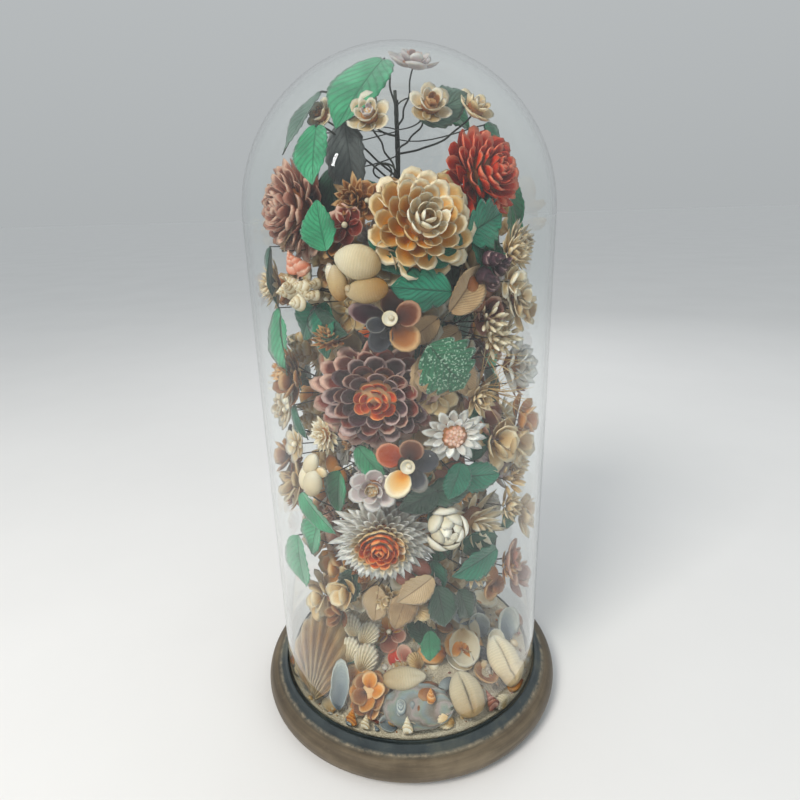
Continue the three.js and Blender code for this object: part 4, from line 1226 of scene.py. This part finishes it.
def valves(body, m, size, look):
    for k in range(3):
        at = turned(2.0 * k, "Z") @ shift(0, size * 0.3, 0.8 * k)
        valve(body, m @ at, size * 0.8, size * 0.72, size * 0.26, 9, 0.05, look, along=7, hollow=k == 1)


def small_leaf(body, m, size, look):
    leaf(body, m, size * 1.6, size, 0.2, look, 7, 0.16, across=6, along=18)


KINDS = {"tuft": tuft, "bloom": bloom, "star": starlet, "snails": snails, "pods": pods, "seeds": seeds,
         "wisp": wisp, "valves": valves, "leaf": small_leaf}

# Kind, azimuth, height, reach, turn, size, look
FILLINGS = [
    ("tuft", 48, 361, 100, 0, 15, "cream_petals"), ("tuft", 44, 372, 98, 60, 14, "cream_petals"),
    ("tuft", 52, 352, 98, 20, 16, "tan"), ("seeds", 37, 347, 90, 0, 20, "bone"),
    ("seeds", 39, 335, 90, 0, 20, "bone"), ("seeds", 50, 333, 88, 0, 20, "bone"),
    ("tuft", 39, 352, 84, 0, 18, "mauve"), ("tuft", 52, 357, 82, 90, 18, "tan"),
    ("wisp", 37, 300, 85, 0, 30, "tan"), ("wisp", 48, 292, 84, 0, 30, "tan"),
    ("wisp", 42, 320, 86, 0, 26, "tan"), ("star", 46, 389, 95, 0, 26, "tan"),
    ("star", 56, 396, 92, 0, 24, "amber"), ("snails", 36, 379, 92, 0, 24, "dusk"),
    ("pods", 31, 367, 90, 0, 20, "brown"), ("leaf", -32, 472, 62, 168, 32, "smoke"),
    ("leaf", -58, 462, 60, 190, 32, "smoke"), ("leaf", 14, 470, 58, 62, 24, "grey"),
    ("leaf", 34, 488, 44, 120, 22, "green"), ("leaf", 60, 470, 66, 130, 24, "green"),
    ("leaf", -70, 470, 64, 200, 26, "grey"), ("leaf", -44, 446, 64, 170, 24, "dark"),
    ("leaf", 58, 446, 60, 60, 24, "teal"), ("star", -21, 425, 76, 0, 26, "brown"),
    ("bloom", -23, 410, 84, 0, 20, "wine"), ("bloom", -14, 424, 78, 0, 18, "brown"),
    ("snails", -49, 372, 93, 0, 17, "bone"), ("snails", -37, 371, 92, 40, 16, "bone"),
    ("leaf", -60, 394, 92, 30, 14, "tan"), ("leaf", -60, 356, 98, 172, 32, "green"),
    ("leaf", -74, 396, 96, 186, 28, "teal"), ("leaf", -37, 362, 84, 180, 24, "teal"),
    ("leaf", -48, 350, 86, 100, 24, "dark"), ("leaf", 39, 417, 82, 20, 22, "teal"),
    ("leaf", 32, 402, 86, 140, 24, "teal"), ("leaf", 2, 382, 92, -40, 22, "teal"),
    ("leaf", 12, 384, 92, 30, 22, "teal"), ("bloom", -66, 277, 95, 0, 24, "amber"),
    ("bloom", -55, 256, 96, 0, 22, "amber"), ("bloom", -62, 292, 94, 0, 20, "bone"),
    ("leaf", -56, 286, 96, 150, 17, "teal"), ("leaf", 22, 240, 92, 100, 24, "teal"),
    ("leaf", 33, 246, 88, 10, 24, "teal"), ("leaf", 8, 228, 90, 80, 24, "dark"),
    ("tuft", 60, 267, 96, 0, 20, "orange"), ("tuft", 55, 252, 94, 0, 22, "tan"),
    ("seeds", 57, 219, 88, 0, 22, "tan"), ("valves", 47, 134, 88, 0, 22, "brown"),
    ("tuft", 66, 124, 92, 0, 22, "mauve"), ("star", 58, 140, 90, 0, 24, "orange"),
    ("tuft", -56, 119, 84, 0, 20, "tan"), ("tuft", -46, 105, 78, 40, 17, "brown"),
    ("valves", -64, 100, 86, 0, 20, "tan"), ("leaf", 0, 140, 74, 200, 24, "tan"),
    ("leaf", 16, 142, 76, 170, 26, "dark"), ("leaf", -20, 138, 70, 190, 24, "tan"),
    ("leaf", 30, 132, 76, 160, 22, "dark"), ("leaf", -34, 150, 74, 200, 24, "dark"),
    ("tuft", -40, 130, 76, 0, 20, "tan"), ("star", 36, 150, 84, 0, 22, "tan"),
    ("tuft", -72, 236, 94, 0, 20, "brown"), ("tuft", -57, 304, 92, 0, 20, "brown"),
    ("tuft", -64, 218, 94, 0, 20, "tan"), ("star", -70, 200, 92, 0, 22, "brown"),
    ("star", 34, 293, 86, 0, 26, "tan"), ("tuft", 45, 258, 88, 0, 24, "tan"),
    ("star", 56, 197, 90, 0, 28, "tan"), ("tuft", 44, 269, 74, 0, 24, "mauve"),
    ("star", 62, 230, 92, 0, 26, "tan"), ("leaf", -38, 237, 80, 190, 24, "green"),
    ("seeds", 19, 206, 86, 0, 15, "white"), ("leaf", 10, 330, 88, 190, 22, "tan"),
    ("leaf", 20, 326, 88, 150, 22, "tan"), ("bloom", 14, 300, 84, 0, 24, "tan"),
    ("leaf", 4, 318, 92, 120, 18, "tan"), ("tuft", -30, 316, 66, 0, 26, "tan"),
    ("leaf", -9, 209, 64, 200, 26, "dark"), ("leaf", 12, 214, 80, 150, 24, "teal"),
    ("star", -20, 372, 74, 0, 26, "tan"), ("tuft", -6, 384, 80, 0, 20, "cream_petals"),
    ("leaf", -24, 262, 84, 140, 20, "green"), ("leaf", -46, 200, 92, 200, 26, "green"),
    ("leaf", 26, 180, 86, 100, 24, "teal"), ("leaf", 50, 184, 94, 60, 20, "teal"),
    ("tuft", 70, 180, 96, 0, 22, "tan"), ("leaf", 12, 96, 70, 180, 18, "green"),
    ("valves", 4, 120, 70, 0, 20, "tan"),
]


def build_fillings():
    parts = {"left": Body(), "right": Body(), "back": Body()}
    stalk = len(FILL_LOOKS) + len(FILL_LEAVES)
    rows = list(FILLINGS)
    shells = ["cream_petals", "tan", "tan", "white", "amber", "mauve", "brown", "orange", "bone", "lilac"]
    # Two even sequences of shares spread them round the trunk and up it
    for k in range(FRONT_FILLS + BACK_FILLS):
        front = k < FRONT_FILLS
        round_it, up_it = k * 0.7549 % 1.0, k * 0.5698 % 1.0
        azimuth = -SIDE + 2 * SIDE * round_it if front else SIDE + (360 - 2 * SIDE) * round_it
        height = 106 + (300 if front else 330) * up_it
        kind = DRAW.choice(["tuft", "tuft", "star", "leaf", "leaf", "bloom", "valves", "pods", "snails"])
        look = DRAW.choice(["dark", "teal", "green", "tan", "smoke", "grey"] if kind == "leaf" else shells)
        reach = (36 if front else 62) + 36 * DRAW.random()
        rows.append((kind, azimuth, height, reach, 360 * DRAW.random(), 19 + 9 * DRAW.random(), look))
    for kind, azimuth, height, reach, turn, size, look in rows:
        facing = direction(azimuth, 8 + 10 * (DRAW.random() - 0.5))
        part = "back" if abs(azimuth) > SIDE else "left" if azimuth < 0 else "right"
        body = parts[part]
        piece = Body()
        KINDS[kind](piece, Matrix(), size, look_index(look, kind == "leaf"))
        settle(piece, pose(place(azimuth, height, reach), facing, -turn))
        body.join(piece)
        end = place(azimuth, height, reach)
        root = Vector((0, 0, min(max(height + 36 * (DRAW.random() - 0.5), BED_TOP + 10), DOME_TOP - 36)))
        bend = root.lerp(end, 0.35) + Vector((0, 0, 20 * (DRAW.random() - 0.5)))
        tube(body, bezier(root, bend, end - facing * 14, end + facing, 8), 0.5, stalk, sides=4)
    for part, body in parts.items():
        make("fillings_" + part, body,
             [SHELLS[k] for k in FILL_LOOKS] + [LEAF_LOOKS[k] for k in FILL_LEAVES] + [WIRE], "cream_shell")


build_fillings()
build_stems()


# Bed

def slope_frame(x, y, lift=0.0, half=0.0, facing=None, roll=0.0):
    """A pose on the bed: on its slope, or facing as told and raised by what its lean lowers its edge."""
    r = math.hypot(x, y)
    slope = math.atan2(bed_height(r - 3) - bed_height(r + 3), 6)
    normal = (Vector((x, y, 0)).normalized() * math.sin(slope) + Vector((0, 0, math.cos(slope)))).normalized()
    facing = facing or normal
    rise = lift + half * math.sin(normal.angle(facing, 0))
    return pose(Vector((x, y, bed_height(r))) + normal * rise, facing, roll)


def build_bed():
    body = Body()
    rows = [(0, BED_FLOOR), (BED_RADIUS * 0.7, BED_FLOOR), (BED_RADIUS, BED_FLOOR)]
    radii = [BED_RADIUS * (1 - k / 46) for k in range(45)]
    rows += [(r, bed_height(r)) for r in radii] + [(0, BED_TOP)]

    def rough(p):
        if p.z <= BED_FLOOR + 0.01:
            return p
        deep = 0.9 * wobble(p, 9.0, 2.0) + 0.5 * wobble(p, 3.1, 5.0) + 0.3 * wobble(p, 1.5, 1.0)
        fade = min(1, (BED_RADIUS - math.hypot(p.x, p.y)) / 6 + 0.1)
        return Vector((p.x, p.y, max(BED_FLOOR + 0.2, p.z + deep * fade)))

    lathe(body, rows, 120, bump=rough)
    make("sand_mound", body, [SAND], "sand_plaster", "sand_bed")


GRAINS, CHIPS = 600, 120


def build_litter():
    """Grains, chips and small shells strewn over the sand."""
    looks = ["bone", "tan", "white", "mauve", "brown", "orange", "nacre", "amber"]
    body = Body()
    for k in range(GRAINS + CHIPS):
        r = BED_RADIUS * math.sqrt(DRAW.random() * 0.93 + 0.02)
        a = DRAW.random() * 6.283
        size = 2.0 + 5.5 * DRAW.random() ** 2.2 if k < GRAINS else 8 + 8 * DRAW.random()
        mat = DRAW.choice([0, 0, 1, 1, 2, 2, 3, 4, 5, 6, 7])
        m = (slope_frame(r * math.cos(a), r * math.sin(a), 0.2) @ turned(DRAW.random() * 6.28, "Z")
             @ turned((DRAW.random() - 0.5) * 1.0, "X"))
        kind = DRAW.random()
        if kind < 0.42:
            valve(body, m, size, size * 0.85, size * 0.3, mat=mat, along=3, thick=0.4,
                  hollow=DRAW.random() < 0.4)
        elif kind < 0.62:
            snail(body, m @ turned(1.4, "X"), size * 0.7, size * 0.9, mat=mat, across=9, along=10)
        elif kind < 0.8:
            pod(body, m, size, size * 0.6, size * 0.45, mat, across=8, along=6)
        else:
            bead(body, m, size * 0.3, mat, across=7, along=5)
    make("bed_litter", body, [SHELLS[k] for k in looks], "cream_shell")


def ark(body):
    valve(body, moved(0, 4, 0), 78, 48, 19, 10, 0.16, 0, along=18, thick=1.4)


def mussel(body):
    valve(body, moved(0, 0, 0), 36, 15, 8, 0, 0, 0, hollow=True, along=10, thick=1.2)


def cockles(body):
    valve(body, moved(7, 13, 0, roll=-17), 27, 24, 12, 12, 0.12, 0, along=12)
    valve(body, moved(-8, 11, 0), 24, 19, 11, 12, 0.12, 0, along=12)
    valve(body, moved(7, -6, 0, roll=30), 22, 22, 10, 12, 0.12, 0, along=12)
    valve(body, moved(-4, -13, 0, roll=17), 33, 24, 13, 12, 0.12, 0, along=12)


def shore_flower(body):
    for turn, length, width, mat in ((-40, 18, 17, 0), (38, 17, 15, 0), (104, 15, 13, 1), (-110, 16, 14, 0),
                                     (176, 17, 17, 1)):
        petal(body, fan(-turn, 1.5, 3, 12), length, width, mat, bowl=0.32, across=10, along=7, thick=0.7)
    bead(body, moved(0, 0, 6), 2.4, 2)


def whelk(body):
    pod(body, moved(3, -2, 9), 37, 19, 16, 0, beak=0.35, slit=0.5)
    snail(body, moved(-7, -10, 2, tip=-80, roll=20), 15, 14, mat=1, groove=0.3)


def middle(body):
    for k in range(6):
        petal(body, moved(9, -14, 1.5 + 0.7 * k, roll=-70 + 28 * k), 22 - 1.4 * k, 26 - 2 * k, 3,
              bowl=-0.2, ruffle=0.05, across=10, along=6, thick=0.6)
    pod(body, moved(-13, 17, 4, roll=28), 20, 8, 5, 1)
    valve(body, moved(20, -2, 1, roll=-20), 34, 20, 4, 0, 0, 1, hollow=True)
    valve(body, moved(21, 20, 1), 30, 26, 5, 0, 0, 2, hollow=True)
    valve(body, moved(2, 22, 1), 17, 15, 8, 9, 0.06, 1)
    leaf(body, moved(-16, -6, 3, roll=20), 36, 22, 0.2, 4, 7, 0.14)


def cowrie(body, length, width, height):
    pod(body, moved(0, 0, height / 2), length, width, height, 0, beak=0.12, slit=1.15, across=48, along=36)


def abalone(body):
    valve(body, moved(0, 0, 0, roll=90), 56, 34, 8, 0, 0, 0, hollow=True, along=14, thick=1.0)
    snail(body, moved(-14, 2, 1), 10, 4, turns=3, mat=1)
    snail(body, moved(10, 4, 2, tip=-20), 9, 15, mat=2)
    snail(body, moved(-9, -12, 2), 9, 8, mat=3)


def frilled(body):
    for k in range(14):
        m = fan(GOLDEN_DEGREES * k, 1.5 + 0.25 * k, 8 - 0.42 * k, 24 - 1.6 * k)
        petal(body, m, 13, 13, k % 2, bowl=0.25, ruffle=0.1, across=10, along=5, thick=0.6)
    lathe(body, [(0, 0), (9, 0.2), (10, 3), (5, 7), (0, 8)], 14, 0)


# Build, half its length, x, y, facing azimuth and lift, turn, looks, slot
BED_SHELLS = {
    "ribbed_ark_shell": (ark, 27, -74, -43, -6, 56, 0, ("ribbed",), "tan_shell"),
    "mussel_shell": (mussel, 17, -57, -69, 0, 50, 0, ("nacre",), "nacre_shell"),
    "cockle_group": (cockles, 22, -46, -27, -24, 62, 0, ("cockle",), "white_shell"),
    "shore_flower": (shore_flower, 14, -18, -29, -8, 54, 0, ("peach", "mauve", "bone"), "peach_shell"),
    "whelk_shell": (whelk, 4, -5, -68, 0, 68, 86, ("bone", "amber"), "cream_shell"),
    "middle_shells": (middle, 24, 30, -34, 14, 62, 0, ("bone", "bone", "nacre", "orange", "leaf"),
                      "white_shell"),
    "large_cowrie": (lambda b: cowrie(b, 40, 27, 17), 10, 76, -47, 24, 62, 4, ("bone",), "white_shell"),
    "small_cowrie": (lambda b: cowrie(b, 34, 27, 16), 9, 41, -81, 16, 60, -2, ("bone",), "cream_shell"),
    "abalone_shell": (abalone, 6, 4, -91, 0, 64, 0, ("pearl", "nacre", "orange", "bone"), "nacre_shell"),
    "frilled_shell": (frilled, 14, -34, -78, -16, 60, 0, ("orange", "brown"), "orange_shell"),
}

build_bed()
build_litter()
for name, (build, half, x, y, face, lift, turn, looks, slot) in BED_SHELLS.items():
    body = Body()
    build(body)
    matrix = slope_frame(x, y, 0.6, half, direction(face, lift), -turn)
    settle(body, matrix)
    make("bed_" + name, body, [SHELLS[k] for k in looks], slot, name)


# Kind, x, y, size, turn, lift off the sand, look
BED_ITEMS = [
    ("leaf", 9, -25, 24, 170, 8, "green"), ("valve", 17, -48, 27, 60, 3, "orange"),
    ("hollow", -14, -50, 15, 30, 1, "coral"), ("valve", 12, -79, 22, 90, 1, "brown"),
    ("pod", 26, -75, 20, 120, 1, "nacre"), ("hollow", 40, -52, 26, 10, 2, "bone"),
    ("pod", 60, -43, 24, 20, 2, "navy"), ("hollow", 60, -62, 26, 100, 1, "brown"),
    ("valve", 35, 12, 28, 160, 6, "navy"), ("ribbed", 27, -7, 24, 0, 3, "cockle"),
    ("hollow", 56, 2, 28, 0, 5, "nacre"), ("cowrie", 47, -17, 22, 170, 2, "bone"),
    ("pod", 70, -19, 22, 10, 2, "nacre"), ("pod", 94, 6, 34, 0, 2, "brown"),
    ("snail", 60, -83, 13, 0, 1, "mauve"), ("hollow", -48, -62, 22, 40, 1, "orange"),
    ("snail", -46, -92, 12, 0, 1, "orange"), ("snail", -36, -97, 10, 0, 1, "bone"),
    ("snail", -5, -103, 11, 0, 1, "bone"), ("leaf", -46, -46, 16, 140, 5, "teal"),
    ("leaf", -34, -44, 15, 220, 6, "green"), ("cowrie", -9, 16, 26, 40, 2, "bone"),
    ("ribbed", 12, 34, 28, 200, 2, "tan"), ("ribbed", -66, -14, 28, 60, 2, "ribbed"),
    ("hollow", -84, -6, 30, 100, 1, "tan"), ("valve", 84, -60, 18, 40, 1, "orange"),
    ("ribbed", 70, -78, 16, 0, 1, "cockle"), ("ribbed", 24, -97, 14, 60, 1, "tan"),
    ("hollow", -20, -98, 15, 90, 1, "nacre"), ("ribbed", 3, -54, 16, 20, 3, "tan"),
    ("hollow", 30, -22, 18, 80, 4, "orange"), ("hollow", 74, 30, 30, 40, 1, "bone"),
    ("ribbed", -40, 40, 32, 120, 2, "ribbed"), ("cowrie", 20, 70, 34, 20, 1, "bone"),
    ("ribbed", -20, 82, 30, 200, 1, "cockle"), ("hollow", 60, 62, 32, 60, 1, "nacre"),
    ("valve", -76, 44, 30, 10, 1, "brown"), ("ribbed", -60, 74, 22, 100, 1, "orange"),
    ("snail", 0, 94, 20, 0, 1, "amber"), ("pod", 40, 40, 26, 60, 3, "navy"),
]

# Shells propped on others: x, y, height over the sand, size, facing azimuth and lift, turn, look, ribbed
PROPPED = [
    (-38, -52, 9, 25, -16, 34, 10, "cockle", True), (-52, -44, 12, 23, -24, 30, -12, "cockle", True),
    (-36, -40, 21, 22, -10, 26, 30, "cockle", True), (-50, -34, 27, 20, -26, 22, -30, "cockle", True),
    (44, -44, 9, 32, 14, 40, 186, "bone", False), (26, -14, 17, 20, 10, 26, -50, "tan", True),
    (60, -20, 13, 24, 22, 24, -20, "nacre", False), (86, -10, 14, 32, 40, 14, 4, "nacre", False),
    (74, -30, 8, 20, 30, 34, 20, "bone", False), (-84, -30, 16, 26, -50, 20, 20, "orange", False),
    (-6, -48, 4, 15, 0, 44, -30, "mauve", False),
]


def build_bed_items():
    looks = ["bone", "tan", "orange", "brown", "coral", "amber", "nacre", "navy", "mauve", "ribbed", "cockle"]
    leaves = ["green", "teal"]
    body = Body()
    for kind, x, y, size, turn, lift, look in BED_ITEMS:
        m = slope_frame(x, y, lift) @ spin(turn, "Z")
        m = m @ turned((DRAW.random() - 0.3) * 0.5, "X")
        mat = len(looks) + leaves.index(look) if kind == "leaf" else looks.index(look)
        piece = Body()
        if kind == "leaf":
            leaf(piece, moved(0, -size / 2, 2), size * 1.4, size, 0.2, mat, 7, 0.14)
        elif kind == "valve":
            valve(piece, Matrix(), size, size * 0.8, size * 0.3, 0, 0, mat)
        elif kind == "ribbed":
            valve(piece, Matrix(), size, size * 0.95, size * 0.36, 12, 0.12, mat, along=10)
        elif kind == "hollow":
            valve(piece, Matrix(), size, size * 0.85, size * 0.26, 0, 0, mat, hollow=True)
        elif kind == "pod":
            pod(piece, moved(0, 0, size * 0.18), size, size * 0.48, size * 0.34, mat, seam=0.06)
        elif kind == "cowrie":
            pod(piece, moved(0, 0, size * 0.22), size, size * 0.7, size * 0.44, mat, slit=0.75,
                across=32, along=24)
        else:
            snail(piece, moved(0, -size * 0.5, size * 0.35, tip=-70), size * 0.95, size * 1.2, mat=mat)
        settle(piece, m)
        body.join(piece)
    for x, y, up, size, face, lift, turn, look, ribbed in PROPPED:
        piece = Body()
        ribs = (12, 0.12) if ribbed else (0, 0)
        valve(piece, Matrix(), size, size * 0.86, size * 0.34, *ribs, looks.index(look), along=11,
              hollow=not ribbed)
        settle(piece, pose(Vector((x, y, bed_height(math.hypot(x, y)) + up)), direction(face, lift), -turn))
        body.join(piece)
    make("loose_bed_shells", body, [SHELLS[k] for k in looks] + [LEAF_LOOKS[k] for k in leaves], "tan_shell")


build_bed_items()
